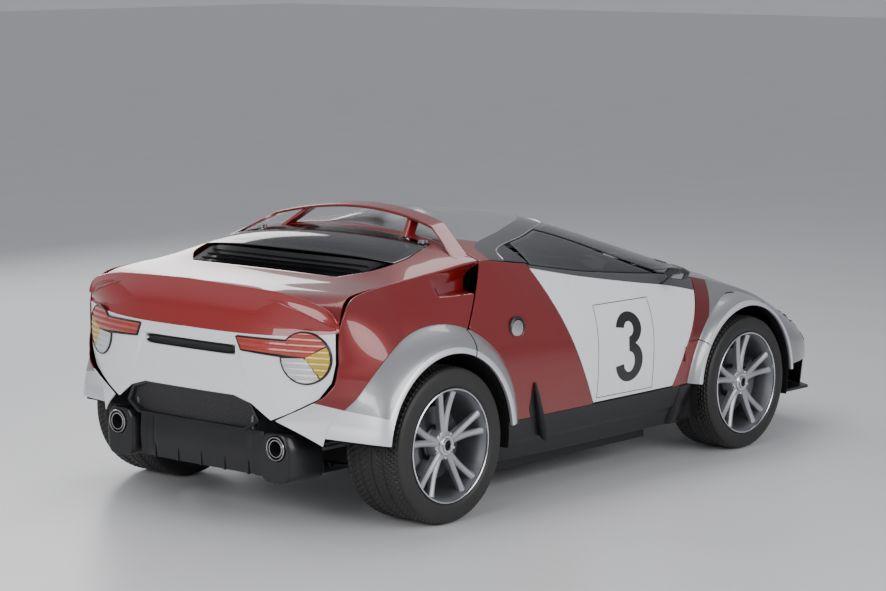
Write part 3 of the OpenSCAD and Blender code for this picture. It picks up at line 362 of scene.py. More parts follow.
vents = []
for side in (-1, 1):
    for k in range(2):
        points, n = strip_on(lambda p, q: crown(p, q * side), -1020 + 125 * k, -925 + 125 * k, 0.665, 0.70)
        vents += [(points + n * 1.2, False, False)]
        for j in range(3):
            y0 = -1010 + 125 * k + 30 * j
            blade, n = strip_on(lambda p, q: crown(p, q * side), y0, y0 + 14, 0.668, 0.697, 4, 6)
            vents += [(blade + n * np.array([1.4, 3.5, 5.0, 1.4])[:, None, None], False, False)]
grid_mesh("bonnet_vents", vents, "bonnet_lid", black_plastic)

# --- Nose panel ---
# The fixed strip across the nose, of the same silver moulding, ahead of the bonnet.
s, v = np.meshgrid(np.linspace(-edge_s, edge_s, 70), np.linspace(0, 1, 10), indexing="ij")
panel("nose_skin", crown(nose_edge_y(s) + v * (96 - gap), s), "chassis", silver, 8, replaces=("nose_panel",))

# --- Front fenders ---
# Each fender runs from the nose to the door in moulded composite. A red stripe with a leaning
# front edge is sprayed ahead of the door; the rest is silver.
def side_x(y, z):
    """The side at a station: it leans in above the waist and tucks in a little below it."""
    low, high = curve(waist_z, y), curve(shoulder_z, y)
    wide, narrow = curve(waist_x, y), curve(shoulder_x, y)
    up = np.clip((z - low) / np.maximum(high - low, 1), 0, 1)
    return np.where(z > low, wide - (wide - narrow) * up**2.2, wide - 14 * ((low - z) / 220) ** 2)


tail_edge_y = [(490, 1795), (600, 1740), (670, 1700), (760, 1683), (900, 1683)]
tail_edge_x = [(490, 505), (600, 730), (670, 790), (760, 800), (900, 800)]
tail_start = y_tail - 465


def flank(y, z):
    """The side surface; behind the rear wheel it curves in to the tail's edge."""
    y, z = np.broadcast_arrays(np.asarray(y, float), np.asarray(z, float))
    w = np.clip((y - tail_start) / (curve(tail_edge_y, z) - tail_start), 0, 1) ** 2.4
    start = side_x(np.full_like(y, tail_start), np.minimum(z, curve(shoulder_z, tail_start)))
    end = np.minimum(curve(tail_edge_x, z), curve(shoulder_x, y) + 60)
    return np.stack([np.where(y <= tail_start, side_x(y, z), mix(start, end, w)), y, z], -1)


def side_top_z(y):
    return crown(y, edge_s)[..., 2] - 0.4


door_front_low, door_front_top, door_rear_low, door_rear_top = ya_f + 585, ya_f + 307, ya_r - 1105, ya_r - 735


def door_edge(low, top, z):
    return mix(low, top, (z - 385) / (curve(shoulder_z, top) - 385))


def arch(yc, zc, r, phi):
    phi = np.radians(phi)
    return np.stack([yc + r * np.cos(phi), zc + r * np.sin(phi)], -1)


def spread(loop, count):
    """Resamples a polyline to evenly spaced points."""
    loop = np.asarray(loop, float)
    run = np.concatenate([[0], np.cumsum(np.linalg.norm(np.diff(loop, axis=0), axis=1))])
    at = np.linspace(0, run[-1], count)
    return np.stack([np.interp(at, run, loop[:, k]) for k in range(loop.shape[1])], -1)


def between_lines(inner, outer, rows):
    """A side panel: points spread between two lines in the YZ plane, laid on the flank."""
    t = np.linspace(0, 1, rows)[None, :, None]
    p = mix(inner[:, None], outer[:, None], t)
    return flank(p[..., 0], p[..., 1])


def stripe(co):
    """Behind a leaning line on the side the fender is red."""
    side = np.abs(co[:, 0]) > 640
    return np.where(side, co[:, 1] - mix(-940, -690, (820 - co[:, 2]) / 460), -50.0)


def stripe_and_top(co):
    """The stripe ends below the shoulder, where the silver of the bonnet begins."""
    return np.minimum(stripe(co), curve(shoulder_z, co[:, 1]) + 8 - co[:, 2])


red_code, white_code = "#7E0B0E", "#F1F1F5"
striped = paint("silver_lacquer_with_red_stripe", "#9A9B9E", 0.75, 0.36, (("red_area", red_code),), flake=0.10)
zc_f, zc_r, arch_f, arch_r = 338.0, 352.0, 392.0, 412.0
flare_f, flare_r = arch_f + 66, arch_r + 118
front_split = math.degrees(math.asin((600 - zc_f) / flare_f))
phis = np.concatenate([[177, 172], np.linspace(167, 60, 60), [50, 42, front_split + 0.2]])
inner = arch(ya_f, zc_f, flare_f + 0.4, phis)
top_y = np.linspace(nose_edge_y(1.0), door_front_top - gap, 50)
outer = [(y_nose + 170, 360), (y_nose + 130, mix(385, 440, 0.7))] + list(zip(top_y, side_top_z(top_y)))
rear_z = np.linspace(outer[-1][1], 600.4, 8)[1:]
outer += list(zip(door_edge(door_front_low, door_front_top, rear_z) - gap, rear_z))
outer = np.array(outer)
marks = np.concatenate([np.linspace(0, 1, 3)[:2] * 0.03, np.linspace(0.05, 0.85, 56), np.linspace(0.88, 1, 7)])
run = np.concatenate([[0], np.cumsum(np.linalg.norm(np.diff(outer, axis=0), axis=1))])
outer = np.stack([np.interp(marks * run[-1], run, outer[:, k]) for k in (0, 1)], -1)
inner = spread(inner, len(outer))
panel("fender_sides", between_lines(inner, outer, 22), "chassis", striped, 6, replaces=("front_fenders",),
      mirror=True, out=(1, 0, 0), fields={"red_area": stripe_and_top})
s, v = np.meshgrid(np.linspace(lid_s + gap / 400, edge_s, 12), np.linspace(0, 1, 70), indexing="ij")
top = crown(mix(nose_edge_y(s) + 96 - gap + 1, foot_y(s, 50) - 4, v), s)
panel("fender_tops", top, "chassis", silver, 6, mirror=True)

# --- Front flares ---
# Bolted-on wheel arch flares in moulded plastic, silver outside with a white rolled lip. The
# lower rear end of each is part of the lower wing, below a level joint.
def flare_section(yc, zc, r0, r1, lip_x, phi, count=26):
    """Section of a flare at an angle: a smooth curve from inside the lip out, round and up to the skin."""
    phi = np.asarray(phi, float)
    skin = flank(yc + r1 * np.cos(np.radians(phi)), zc + r1 * np.sin(np.radians(phi)))[..., 0]
    lip = np.full_like(skin, lip_x)
    knots_r = np.array([r0 + 16, r0 + 2, r0, r0 + 6, mix(r0, r1, 0.38), mix(r0, r1, 0.72), r1 - 4, r1 + 0])
    knots_x = np.stack([lip - 34, lip - 20, lip - 6, lip, mix(lip, skin, 0.20) + 5, mix(lip, skin, 0.62) + 7,
                        mix(lip, skin, 0.97) + 1, skin], -1)
    at = np.linspace(0, 7, count)
    k = np.clip(at.astype(int), 0, 6)
    f = at - k
    def smooth(q):
        p = np.concatenate([2 * q[..., :1] - q[..., 1:2], q, 2 * q[..., -1:] - q[..., -2:-1]], -1)
        a, b, c, d = (p[..., k + j] for j in range(4))
        return 0.5 * (2 * b + (c - a) * f + (2 * a - 5 * b + 4 * c - d) * f**2 + (3 * b - a - 3 * c + d) * f**3)
    r = smooth(np.broadcast_to(knots_r, knots_x.shape))
    x = smooth(knots_x)
    c, s_ = np.cos(np.radians(phi))[:, None], np.sin(np.radians(phi))[:, None]
    return np.stack([x, yc + r * c, zc + r * s_], -1)


def white_lip(yc, zc, r0, wide, low):
    """White within a band along the lip, and everywhere below a height behind the wheel."""
    def rule(co):
        r = np.hypot(co[:, 1] - yc, co[:, 2] - zc)
        return np.maximum(r0 + wide - r, low(co))
    return rule


front_lip_x, rear_lip_x = 960.0, 992.0
lipped = paint("silver_lacquer_with_white_lip", "#A6A7AA", 0.7, 0.38, (("white_area", white_code),), flake=0.08)
front_white = white_lip(ya_f, zc_f, arch_f, 24, lambda co: -np.ones(len(co)))
section = flare_section(ya_f, zc_f, arch_f, flare_f, front_lip_x, np.linspace(177, front_split + 0.2, 90))
panel("front_flare_skins", section, "chassis", lipped, 3, 1.2, replaces=("front_flares",),
      mirror=True,
      out=(1, 0, 0.5), fields={"white_area": front_white})
lower = np.linspace(math.degrees(math.asin((387 - zc_f) / flare_f)), front_split - 0.25, 24)
section = flare_section(ya_f, zc_f, arch_f, flare_f, front_lip_x, lower)
panel("lower_flare_ends", section, "chassis", lipped, 3, 1.2, mirror=True, out=(1, 0, 0),
      fields={"white_area": front_white})
u, z = np.meshgrid(np.linspace(0, 1, 12), np.linspace(385, 599.6, 24), indexing="ij")
wing = flank(mix(ya_f + np.sqrt((flare_f + 0.4) ** 2 - (z - zc_f) ** 2),
                 door_edge(door_front_low, door_front_top, z) - gap, u), z)
red = paint("red_lacquer", red_code, 0.25, 0.30, flake=0.10)
panel("lower_wings", wing, "chassis", red, 5, replaces=("front_lower_wings",), mirror=True,
      out=(1, 0, 0))

# --- Doors ---
# A pressed outer skin on a frame, painted white, with a dark grey band below the glass. The
# thin-lined square and its number are cut from vinyl film.
door_low_z = 385 + gap
def door_grid(cut, nu=60, nv=44):
    """Door outline: front and rear edges lean with height, the top follows the shoulder."""
    u, v = np.meshgrid(np.linspace(0, 1, nu), np.linspace(0, 1, nv), indexing="ij")
    z0 = side_top_z(mix(door_front_top, door_rear_top, u[:, 0])) - gap
    yt = mix(door_edge(door_front_low, door_front_top, z0), door_edge(door_rear_low, door_rear_top, z0),
             u[:, 0])
    z = mix(door_low_z + cut * 0.4, (side_top_z(yt) - gap - cut)[:, None], v)
    return flank(mix(door_edge(door_front_low, door_front_top, z) + cut,
                     door_edge(door_rear_low, door_rear_top, z) - cut, u), z)


def under_glass(co):
    """Grey from the glass down to a line that drops towards the front."""
    wide = np.interp(co[:, 1], [-850, -500, 0, 420], [62, 50, 26, 14])
    return co[:, 2] - (side_top_z(co[:, 1]) - gap - wide)


door_paint = paint("white_lacquer_with_grey_band", white_code, 0.0, 0.28, (("grey_area", "#3A3A3D"),))
trim_black, tree, shader, where = blank("grained_cabin_trim")
grain = put(tree, "ShaderNodeTexVoronoi", {"Vector": where, "Scale": 380.0})
haze = put(tree, "ShaderNodeTexNoise", {"Vector": where, "Scale": 9.0, "Detail": 4.0})
tone = put(tree, "ShaderNodeMix", {"Factor": haze.outputs[0], "A": linear("#18181A"), "B": linear("#2A2A2D")},
           data_type="RGBA")
tree.links.new(tone.outputs["Result"], shader.inputs["Base Color"])
bump = put(tree, "ShaderNodeBump", {"Height": grain.outputs["Distance"], "Strength": 0.25, "Distance": 0.0008})
tree.links.new(bump.outputs[0], shader.inputs["Normal"])
shader.inputs["Roughness"].default_value = 0.62
vinyl, tree, shader, where = blank("black_vinyl_film")
haze = put(tree, "ShaderNodeTexNoise", {"Vector": where, "Scale": 30.0, "Detail": 4.0})
tone = put(tree, "ShaderNodeMix", {"Factor": haze.outputs[0], "A": linear("#0B0B0C"), "B": linear("#161618")},
           data_type="RGBA")
tree.links.new(tone.outputs["Result"], shader.inputs["Base Color"])
shader.inputs["Roughness"].default_value = 0.33
shader.inputs["Coat Weight"].default_value = 0.4
for side, word in ((-1, "right"), (1, "left")):
    body = word + "_door"
    panel(f"door_skin_{word}", door_grid(0) * (side, 1, 1), body, door_paint, 5, replaces=(f"door_{word}",),
          out=(side, 0, 0), fields={"grey_area": under_glass})
    inner_face = (door_grid(26) - (60, 0, 0)) * (side, 1, 1)
    edges = []
    for pick in (np.s_[:, 0], np.s_[-1, :], np.s_[::-1, -1], np.s_[0, ::-1]):
        edges.append(np.stack([(door_grid(2, 40, 30) - (5, 0, 0))[pick],
                               (door_grid(26, 40, 30) - (60, 0, 0))[pick]], 1))
    u, v = np.meshgrid(np.linspace(0, 1, 60), np.linspace(0, 1, 44), indexing="ij")
    pocket = (-14 * np.exp(-(((v - 0.28) / 0.12) ** 4) - (((u - 0.5) / 0.36) ** 6))
              + 16 * np.exp(-(((v - 0.66) / 0.07) ** 4) - (((u - 0.45) / 0.3) ** 6)))
    face = inner_face - np.stack([side * pocket * 0.9, 0 * pocket, 0 * pocket], -1)
    grid_mesh(f"door_trim_{word}", [(face, False, False)] + [(e * (side, 1, 1), False, False) for e in edges],
              body, trim_black)
    strokes = []
    for centre, radii, a0, a1 in (((0, 0.50), (0.33, 0.36), 168, -92), ((0, -0.46), (0.36, 0.44), 92, -172)):
        a = np.radians(np.linspace(a0, a1, 44))[:, None]
        w = np.linspace(-1, 1, 5)[None, :] * 0.155
        strokes.append((centre[0] + (radii[0] + w) * np.cos(a), centre[1] + (radii[1] + w * 0.9) * np.sin(a)))
    film = []
    for p, q in strokes:
        film.append((flank(-205 + side * 205 * p, 634 + 165 * q) + (0.9, 0, 0), False, False))
    frame_y, frame_z = [35, -400, -400, 35, 35], [852, 846, 408, 412, 852]
    for j in range(4):
        t = np.linspace(0, 1, 24)[:, None]
        along = np.array([frame_y[j + 1] - frame_y[j], frame_z[j + 1] - frame_z[j]], float)
        across = np.array([-along[1], along[0]]) / np.linalg.norm(along) * np.linspace(-1.7, 1.7, 2)[None, :,
                None]
        line = np.array([frame_y[j], frame_z[j]]) + t[..., None] * along + across
        film.append((flank(line[..., 0], line[..., 1]) + (0.8, 0, 0), False, False))
    grid_mesh(f"door_number_{word}", [(p * (side, 1, 1), a, b) for p, a, b in film], body, vinyl)

# --- Windscreen and side glass ---
# Laminated tinted glass bonded to the frame, with a black printed band round its edge.
tinted, tree, shader, where = blank("dark_tinted_glass")
haze = put(tree, "ShaderNodeTexNoise", {"Vector": where, "Scale": 4.0, "Detail": 3.0})
tone = put(tree, "ShaderNodeMix", {"Factor": haze.outputs[0], "A": linear("#161719"), "B": linear("#202225")},
           data_type="RGBA")
band = put(tree, "ShaderNodeAttribute", attribute_name="band_area")
edge = put(tree, "ShaderNodeMapRange", {"Value": band.outputs["Fac"], "From Min": -2.0, "From Max": 2.0})
colour = put(tree, "ShaderNodeMix", {"Factor": edge.outputs[0], "A": tone.outputs["Result"],
                                     "B": linear("#050506")}, data_type="RGBA")
tree.links.new(colour.outputs["Result"], shader.inputs["Base Color"])
clear = put(tree, "ShaderNodeMapRange", {"Value": edge.outputs[0], "To Min": 0.72, "To Max": 1.0})
tree.links.new(clear.outputs[0], shader.inputs["Alpha"])
polish = put(tree, "ShaderNodeMapRange", {"Value": haze.outputs[0], "To Min": 0.03, "To Max": 0.09})
tree.links.new(polish.outputs[0], shader.inputs["Roughness"])
shader.inputs["IOR"].default_value = 1.52
shader.inputs["Coat Weight"].default_value = 0.6
screen_t, a_top = 74.0, 0.52
glass_top = [(0, ya_f + 790), (0.35, ya_f + 890), (0.6, ya_f + 1270), (0.8, ya_f + 1650), (1, ya_f + 1735)]


def glass_top_y(s):
    return curve(glass_top, np.abs(s))


u, v = np.meshgrid(np.linspace(-1, 1, 80), np.linspace(0, 1, 40), indexing="ij")
fs, fy = foot_pt(screen_t * u, 0)
screen = crown(mix(fy, glass_top_y(a_top * u) - 3, v), mix(fs, a_top * u, v))
piece = panel("windscreen_glass", screen, "chassis", tinted, 5, 1.5, replaces=("windscreen",))


def edge_band(grid, wide):
    """Distance from the nearest edge of a grid, as a band width less that distance."""
    run_v = np.cumsum(np.concatenate([np.zeros((grid.shape[0], 1)),
                                      np.linalg.norm(np.diff(grid, axis=1), axis=2)], 1), 1)
    run_u = np.cumsum(np.concatenate([np.zeros((1, grid.shape[1])),
                                      np.linalg.norm(np.diff(grid, axis=0), axis=2)], 0), 0)
    far = np.minimum(np.minimum(run_v, run_v[:, -1:] - run_v), np.minimum(run_u, run_u[-1:] - run_u))
    flat, value = grid.reshape(-1, 3), (wide - far).reshape(-1)

    def rule(co):
        out = np.empty(len(co))
        for i in range(0, len(co), 2000):
            d = ((co[i : i + 2000, None] - flat[None]) ** 2).sum(-1)
            out[i : i + 2000] = value[d.argmin(1)]
        return out
    return rule


place_fields(piece, {"band_area": edge_band(screen, 32)})


def crown_s_at(y, z):
    """Where across the crown a height is reached."""
    a = np.radians(curve(crown_angle, y))
    low, high = curve(shoulder_z, y), curve(top_line, y)
    return np.arccos(np.clip(np.cos(a) + (z - low) * (1 - np.cos(a)) / (high - low), -1, 1)) / a


u, v = np.meshgrid(np.linspace(0, 1, 60), np.linspace(0, 1, 26), indexing="ij")
y0 = mix(foot_pt(screen_t, 0)[1] + 45, door_rear_top - 22, u)
s0 = crown_s_at(y0, side_top_z(y0) - gap + 3.4)
s1 = mix(a_top + 0.024, 0.72, u)
side_glass = crown(mix(y0, glass_top_y(s1) - 22, v), mix(s0, s1, v))
for side, word in ((-1, "right"), (1, "left")):
    piece = panel(f"side_window_{word}", side_glass * (side, 1, 1), word + "_door", tinted, 5, 1.5,
                  replaces=(f"door_glass_{word}",), out=(side, 0, 0))
    place_fields(piece, {"band_area": edge_band(side_glass * (side, 1, 1), 20)})

u, v = np.meshgrid(np.linspace(0, 1, 30), np.linspace(0, 1, 24), indexing="ij")
s = mix(0.752, 0.985, u)
small_glass = crown(mix(door_rear_top - 22 + gap, glass_top_y(s) - 3, v), s)
for side, word in ((-1, "right"), (1, "left")):
    panel(f"quarter_window_{word}", small_glass * (side, 1, 1), "chassis", tinted, 5, 1.5, out=(side, 0, 0.5))

# --- Cowl and wipers ---
# The dark grey moulding that ends the bonnet at the glass, with two parked wiper blades.
grey_plastic = paint("dark_grey_satin_lacquer", "#3A3A3D", 0.1, 0.42, flake=0.06)
u, v = np.meshgrid(np.linspace(-1, 1, 90), np.linspace(0, 1, 8), indexing="ij")
fs0, fy0 = foot_pt(screen_t * u, 50)
fs1, fy1 = foot_pt(screen_t * u, 3)
fs = mix(fs0, fs1, v)
panel("cowl_skin", crown(mix(fy0, fy1, v), np.sign(fs) * np.minimum(np.abs(fs), edge_s)), "chassis",
      grey_plastic, 6, 2,
      replaces=("cowl",))


def tube(path, radius, sides=10, squash=1.0, up=(0, 0, 1)):
    """A round bar along a path: circles square to its direction, closed at both ends."""
    path = np.asarray(path, float)
    t = np.gradient(path, axis=0)
    t /= np.linalg.norm(t, axis=1, keepdims=True)
    b = np.cross(t, up)
    b /= np.maximum(np.linalg.norm(b, axis=1, keepdims=True), 1e-9)
    c = np.cross(b, t)
    a = np.linspace(0, 2 * np.pi, sides, endpoint=False)
    r = np.broadcast_to(np.asarray(radius, float), len(path))[:, None, None]
    ring = path[:, None] + r * (np.cos(a)[None, :, None] * b[:, None] + squash * np.sin(a)[None, :, None] * c[:,
            None])
    return np.concatenate([np.repeat(path[:1, None], sides, 1), ring, np.repeat(path[-1:, None], sides, 1)])


wipers = []
for base, tip in (((-60, -1176), (-560, -1020)), ((420, -1120), (-110, -1110))):
    t = np.linspace(0, 1, 20)
    x, y = mix(base[0], tip[0], t), mix(base[1], tip[1], t)
    y = np.maximum(y, foot_y(x / 815, 0) + 14)
    spine = crown(y, x / 815) + (0, 0, 1)
    spine[:, 0] = x
    wipers.append((tube(spine + np.stack([0 * t, 0 * t, 9 + 10 * np.sin(np.pi * t)], -1), 5, 8), False, True))
    wipers.append((tube(spine + (0, 0, 5), 4, 6), False, True))
grid_mesh("wipers", wipers, "chassis", black_plastic)
v = np.linspace(0, 1, 40)
fs, fy = foot_pt(screen_t, 0)
post_s = mix(fs, a_top, v) + 0.012
post_y = mix(fy, glass_top_y(a_top), v)
post = crown(post_y, post_s)
inward = np.stack([-np.sin(post_s * 1.0), 0 * v, -np.cos(post_s * 1.0)], -1)
post = post[3:-1] + 27 * inward[3:-1]
grid_mesh("windscreen_pillars", [(tube(post * (side, 1, 1), 13, 14, 1.0), False, True) for side in (-1, 1)],
          "chassis", trim_black)

# --- Roof ---
# A silver moulded panel with a raised central air scoop. Its front is masked black, with a
# fine bright line where it meets the glass.
def roof_black(co):
    """Black from the glass back to a line about 120 mm behind it."""
    a = np.clip(np.abs(co[:, 0]) / np.maximum(curve(shoulder_x, co[:, 1]), 1), 0, 1)
    return glass_top_y(a) + mix(150, 95, a) - co[:, 1]


def roof_red(co):
    """The red of the rear quarters comes up over the roof's sides."""
    return np.abs(co[:, 0]) - np.interp(co[:, 1], [300, 480, 620, 740], [705, 640, 560, 500])


roof_paint = paint("silver_lacquer_with_black_front", "#8E8F92", 0.7, 0.36,
                   (("red_area", red_code), ("black_area", "#0E0E10")), flake=0.10)
s, v = np.meshgrid(np.linspace(-edge_s, edge_s, 130), np.linspace(0, 1, 60), indexing="ij")
front = glass_top_y(s)
roof = crown(mix(front, ya_r - 405 - gap - 1, v), s)
hump = 46 * np.exp(-((roof[..., 0] / 150) ** 4)) * np.clip((roof[..., 1] - 190) / 190, 0,
                                                           1) ** 1.5 * np.clip((742 - roof[..., 1]) / 260, 0,
                                                                   1) ** 0.7
hump = hump * np.where(roof[..., 1] > 190, 1, 0)
roof = roof + np.stack([0 * hump, 0 * hump, hump], -1)
panel("roof_skin", roof, "chassis", roof_paint, 8, replaces=("roof_panel",),
      fields={"red_area": roof_red, "black_area": roof_black})
trim_bright, tree, shader, where = blank("bright_aluminium_strip")
brush = put(tree, "ShaderNodeTexNoise", {"Vector": where, "Scale": 300.0, "Detail": 3.0})
tone = put(tree, "ShaderNodeMix", {"Factor": brush.outputs[0], "A": linear("#B9BABD"), "B": linear("#DEDFE2")},
           data_type="RGBA")
tree.links.new(tone.outputs["Result"], shader.inputs["Base Color"])
shader.inputs["Metallic"].default_value = 1.0
polish = put(tree, "ShaderNodeMapRange", {"Value": brush.outputs[0], "To Min": 0.2, "To Max": 0.36})
tree.links.new(polish.outputs[0], shader.inputs["Roughness"])
s = np.linspace(-0.97, 0.97, 120)
grid_mesh("glass_top_strip", [(tube(crown(glass_top_y(s) - 1, s) + (0, 0, 0.8), 3.2, 8), False, True)],
          "chassis", trim_bright)

# --- Rear quarters ---
# Fixed red sides between the door and the rear clamshell: fuel filler on the right, and low
# down a three-cornered intake with a curved black blade; its shaded hollow is painted as a flat black sheet.
clam_front_y, clam_gap, split_phi = ya_r - 405, gap * 1.4, 112.0
clam_foot = arch(ya_r, zc_r, flare_r, split_phi)


def quarter_rear_y(z):
    up = mix(clam_foot[0], clam_front_y,
             (z - clam_foot[1]) / (side_top_z(clam_front_y) - clam_foot[1])) - clam_gap
    low = ya_r - np.sqrt(np.maximum((flare_r + 0.4) ** 2 - (z - zc_r) ** 2, 0))
    return np.where(z < clam_foot[1], low, up)


u, v = np.meshgrid(np.linspace(0, 1, 60), np.linspace(0, 1, 80), indexing="ij")
zt = side_top_z(mix(door_rear_top + gap, clam_front_y - clam_gap, u))
z = np.where(v <= 0.6, mix(385, clam_foot[1] - 4, v / 0.6), mix(clam_foot[1] + 4, zt, (v - 0.6) / 0.4))
quarter = flank(mix(door_edge(door_rear_low, door_rear_top, z) + gap, quarter_rear_y(z), u), z)
section = flare_section(ya_r, zc_r, arch_r, flare_r, rear_lip_x, np.linspace(split_phi + 0.6, 175, 50))
rear_white = white_lip(ya_r, zc_r, arch_r, 26, lambda co: np.where(co[:, 1] > ya_r + 250,
        470 + 0.35 * (co[:, 1] - ya_r - 250) - co[:, 2], -60.0))
for side, word in ((-1, "right"), (1, "left")):
    panel(f"quarter_skin_{word}", quarter * (side, 1, 1), "chassis", red, 5, replaces=(f"quarter_{word}",),
          out=(side, 0, 0))
panel("quarter_flares", section, "chassis", lipped, 3, 1.2, mirror=True, out=(1, 0, 0),
      fields={"white_area": rear_white})


def lathe(profile, centre, axis=0, count=48, span=2 * np.pi):
    """A turned shape: a profile of radius and distance, swept round an axis through a centre."""
    profile = np.asarray(profile, float)
    a = np.linspace(0, span, count, endpoint=False)
    r, d = profile[:, 0][:, None], profile[:, 1][:, None]
    parts = [d + 0 * a, r * np.cos(a), r * np.sin(a)]
    order = {0: (0, 1, 2), 1: (2, 0, 1), 2: (1, 2, 0)}[axis]
    return np.stack([parts[k] for k in order], -1) + np.asarray(centre, float)


filler_y, filler_z = 620.0, 810.0
filler_x = -flank(filler_y, filler_z)[0]
grid_mesh("filler_cap", [(lathe([(0.01, -8), (24, -7.5), (38, -5), (42, 0), (42, 6)],
                                (filler_x, filler_y, filler_z)), False, True)],
          "chassis", trim_bright)
grid_mesh("filler_ring", [(lathe([(43, 6), (43, -4), (49, -7), (55, -4), (56, 6)],
                                 (filler_x, filler_y, filler_z)), False, True)],
          "chassis", black_plastic)
blades = []
for side in (-1, 1):
    t = np.linspace(0, 1, 30)
    spine_y = (1 - t) ** 2 * 512 + 2 * t * (1 - t) * 492 + t**2 * 392
    spine_z = mix(548, 262, t)
    spine = flank(spine_y, np.maximum(spine_z, 386))
    spine[:, 2] = spine_z
    spine[:, 0] -= np.maximum(386 - spine_z, 0) * 0.22
    wide = 4 + 26 * np.sin(np.pi * np.clip(t * 0.86 + 0.02, 0, 1)) ** 0.8
    blades.append((tube(spine + (4, 0, 0), wide, 12, 0.55, (0, -1, 0)) * (side, 1, 1), False, True))
    # Behind each blade a flat black sheet laid just off the skin: painted shade standing for the intake's hollow.
    k, t = np.meshgrid(np.linspace(0, 1, 10), t, indexing="ij")
    rear_y = (1 - t) ** 2 * 512 + 2 * t * (1 - t) * 492 + t**2 * 392 + k * (2 + 58 * np.clip(t * 2.2, 0, 1))
    shade = flank(rear_y, np.maximum(mix(548, 386, np.clip(t * 1.7, 0, 1)), 386)) + (1.5, 0, 0)
    blades.append((shade * (side, 1, 1), False, False))
grid_mesh("side_intakes", blades, "chassis", black_plastic)

# --- Rear clamshell skins ---
# One big red moulding with its deck, sides and flares, hinged behind the tail.
phis = np.concatenate([np.linspace(split_phi, 32, 64), [26, 20, 14, 9, 4]])
inner = spread(arch(ya_r, zc_r, flare_r + 0.4, phis), 90)
ys = np.linspace(clam_front_y, y_tail - 140, 60)
outer = spread(np.array(list(zip(ys, side_top_z(ys))) + [(1683, 880), (1683, 760), (1700, 670), (1740, 600),
                                                         (1791, 495)]), 90)
scoop_y, scoop_z = 905.0, 1000.0


def with_scoop(points):
    """Presses the intake's hollow into the side: deep under its hood and level along its lower ledge."""
    y, z = points[..., 1], points[..., 2]
    along = np.clip((y - 752) / 26, 0, 1) * np.clip((1075 - y) / 260, 0, 1) ** 0.7
    up = np.clip((z - 988) / 10, 0, 1) * np.clip((side_top_z(y) - 8 - z) / 60, 0, 1) ** 0.6
    deep = 78 * along * up
    return points - np.stack([deep, 0 * deep, 0 * deep], -1)


def low_white(co):
    """The lowest corner behind the wheel is white."""
    return 470 + 0.35 * (co[:, 1] - ya_r - 250) - co[:, 2] - 2000.0 * (co[:, 1] < ya_r + 250)


rows = 60
t = np.linspace(0, 1, rows)[None, :, None]
p = mix(inner[:, None], outer[:, None], t)
sides = with_scoop(flank(p[..., 0], p[..., 1]))
red_white = paint("red_lacquer_with_white_corner", red_code, 0.25, 0.30, (("white_area", white_code),),
                  flake=0.10)
panel("rear_sides", sides, "rear_clam", red_white, 6, replaces=("rear_quarters",),
      mirror=True, out=(1, 0, 0),
      fields={"white_area": low_white})
section = flare_section(ya_r, zc_r, arch_r, flare_r, rear_lip_x, np.linspace(8, split_phi - 0.6, 110))
panel("rear_flare_skins", section, "rear_clam", lipped, 3, 1.2, replaces=("rear_flares",),
      mirror=True,
      out=(1, 0, 0.5), fields={"white_area": rear_white})


def lip_y(s):
    return y_tail - 4 - 122 * np.abs(s) ** 3


window_front, window_rear, louvre_rear = ya_r - 355, ya_r + 15, ya_r + 185
opening_side = [(window_front, 0.62), (ya_r - 250, 0.66), (ya_r - 95, 0.71), (ya_r + 60, 0.66),
                (louvre_rear, 0.5)]


def ring_of(count):
    """The deck's inner opening and outer outline, point by point clockwise from the rear."""
    k = np.linspace(0, 1, count, endpoint=False)
    y = mix(louvre_rear, window_front, k)
    s = np.linspace(-0.5, 0.5, count, endpoint=False)
    hole = np.concatenate([np.stack([s, louvre_rear + 10 * (1 - 4 * s * s)], -1),
                           np.stack([curve(opening_side, y), y], -1),
                           np.stack([0.62 * (1 - 2 * k), 0 * k + window_front], -1),
                           np.stack([-curve(opening_side, mix(window_front, louvre_rear, k)),
                                     mix(window_front, louvre_rear, k)], -1)])
    rear = lambda s: lip_y(s) - 12 - 9.5
    s = mix(-edge_s, edge_s, k)
    rim = np.concatenate([np.stack([s, rear(s)], -1),
                          np.stack([0 * k + edge_s, mix(rear(edge_s), clam_front_y, k)], -1),
                          np.stack([edge_s * (1 - 2 * k), 0 * k + clam_front_y], -1),
                          np.stack([0 * k - edge_s, mix(clam_front_y, rear(edge_s), k)], -1)])
    return hole, rim


hole, rim = ring_of(40)
v = np.linspace(0, 1, 30)[None, :, None]
ring = mix(hole[:, None], rim[:, None], v)
deck = crown(np.minimum(ring[..., 1], lip_y(ring[..., 0]) - 21.5), ring[..., 0])
panel("rear_deck_skin", deck, "rear_clam", red, 6, 2.0, wrap=True, replaces=("rear_deck",),
      out=(0, 0, 1))

# --- Rear window and louvre ---
# Dark glass in a black frame; behind it a recess with four black blades lets out engine heat.
u, v = np.meshgrid(np.linspace(-1, 1, 60), np.linspace(0, 1, 40), indexing="ij")
y = mix(window_front + 3, window_rear - 60 * u * u, v)
rear_glass = crown(y, u * (curve(opening_side, y) - 0.008))
piece = panel("rear_window_glass", rear_glass, "rear_clam", tinted, 5, 1.5, replaces=("rear_window",))
place_fields(piece, {"band_area": edge_band(rear_glass, 34)})
s, v = np.meshgrid(np.linspace(-1.06, 1.06, 50), np.linspace(0, 1, 50), indexing="ij")
w = s * 0.6 * (1 - 0.12 * v)
tray = crown(mix(window_rear - 60 * s * s + 10, louvre_rear + 6, v), w)
n = normals(tray)
n = np.where(n[..., 2:] < 0, -n, n)
dip = 12.6 + 26 * np.clip(v / 0.12, 0, 1) * np.clip((1 - v) / 0.12, 0, 1) * np.clip((1.06 - np.abs(s)) / 0.1, 0,
        1)
sheets = [(tray - n * dip[..., None], False, False), (tray - n * (dip[..., None] + 4), False, False)]
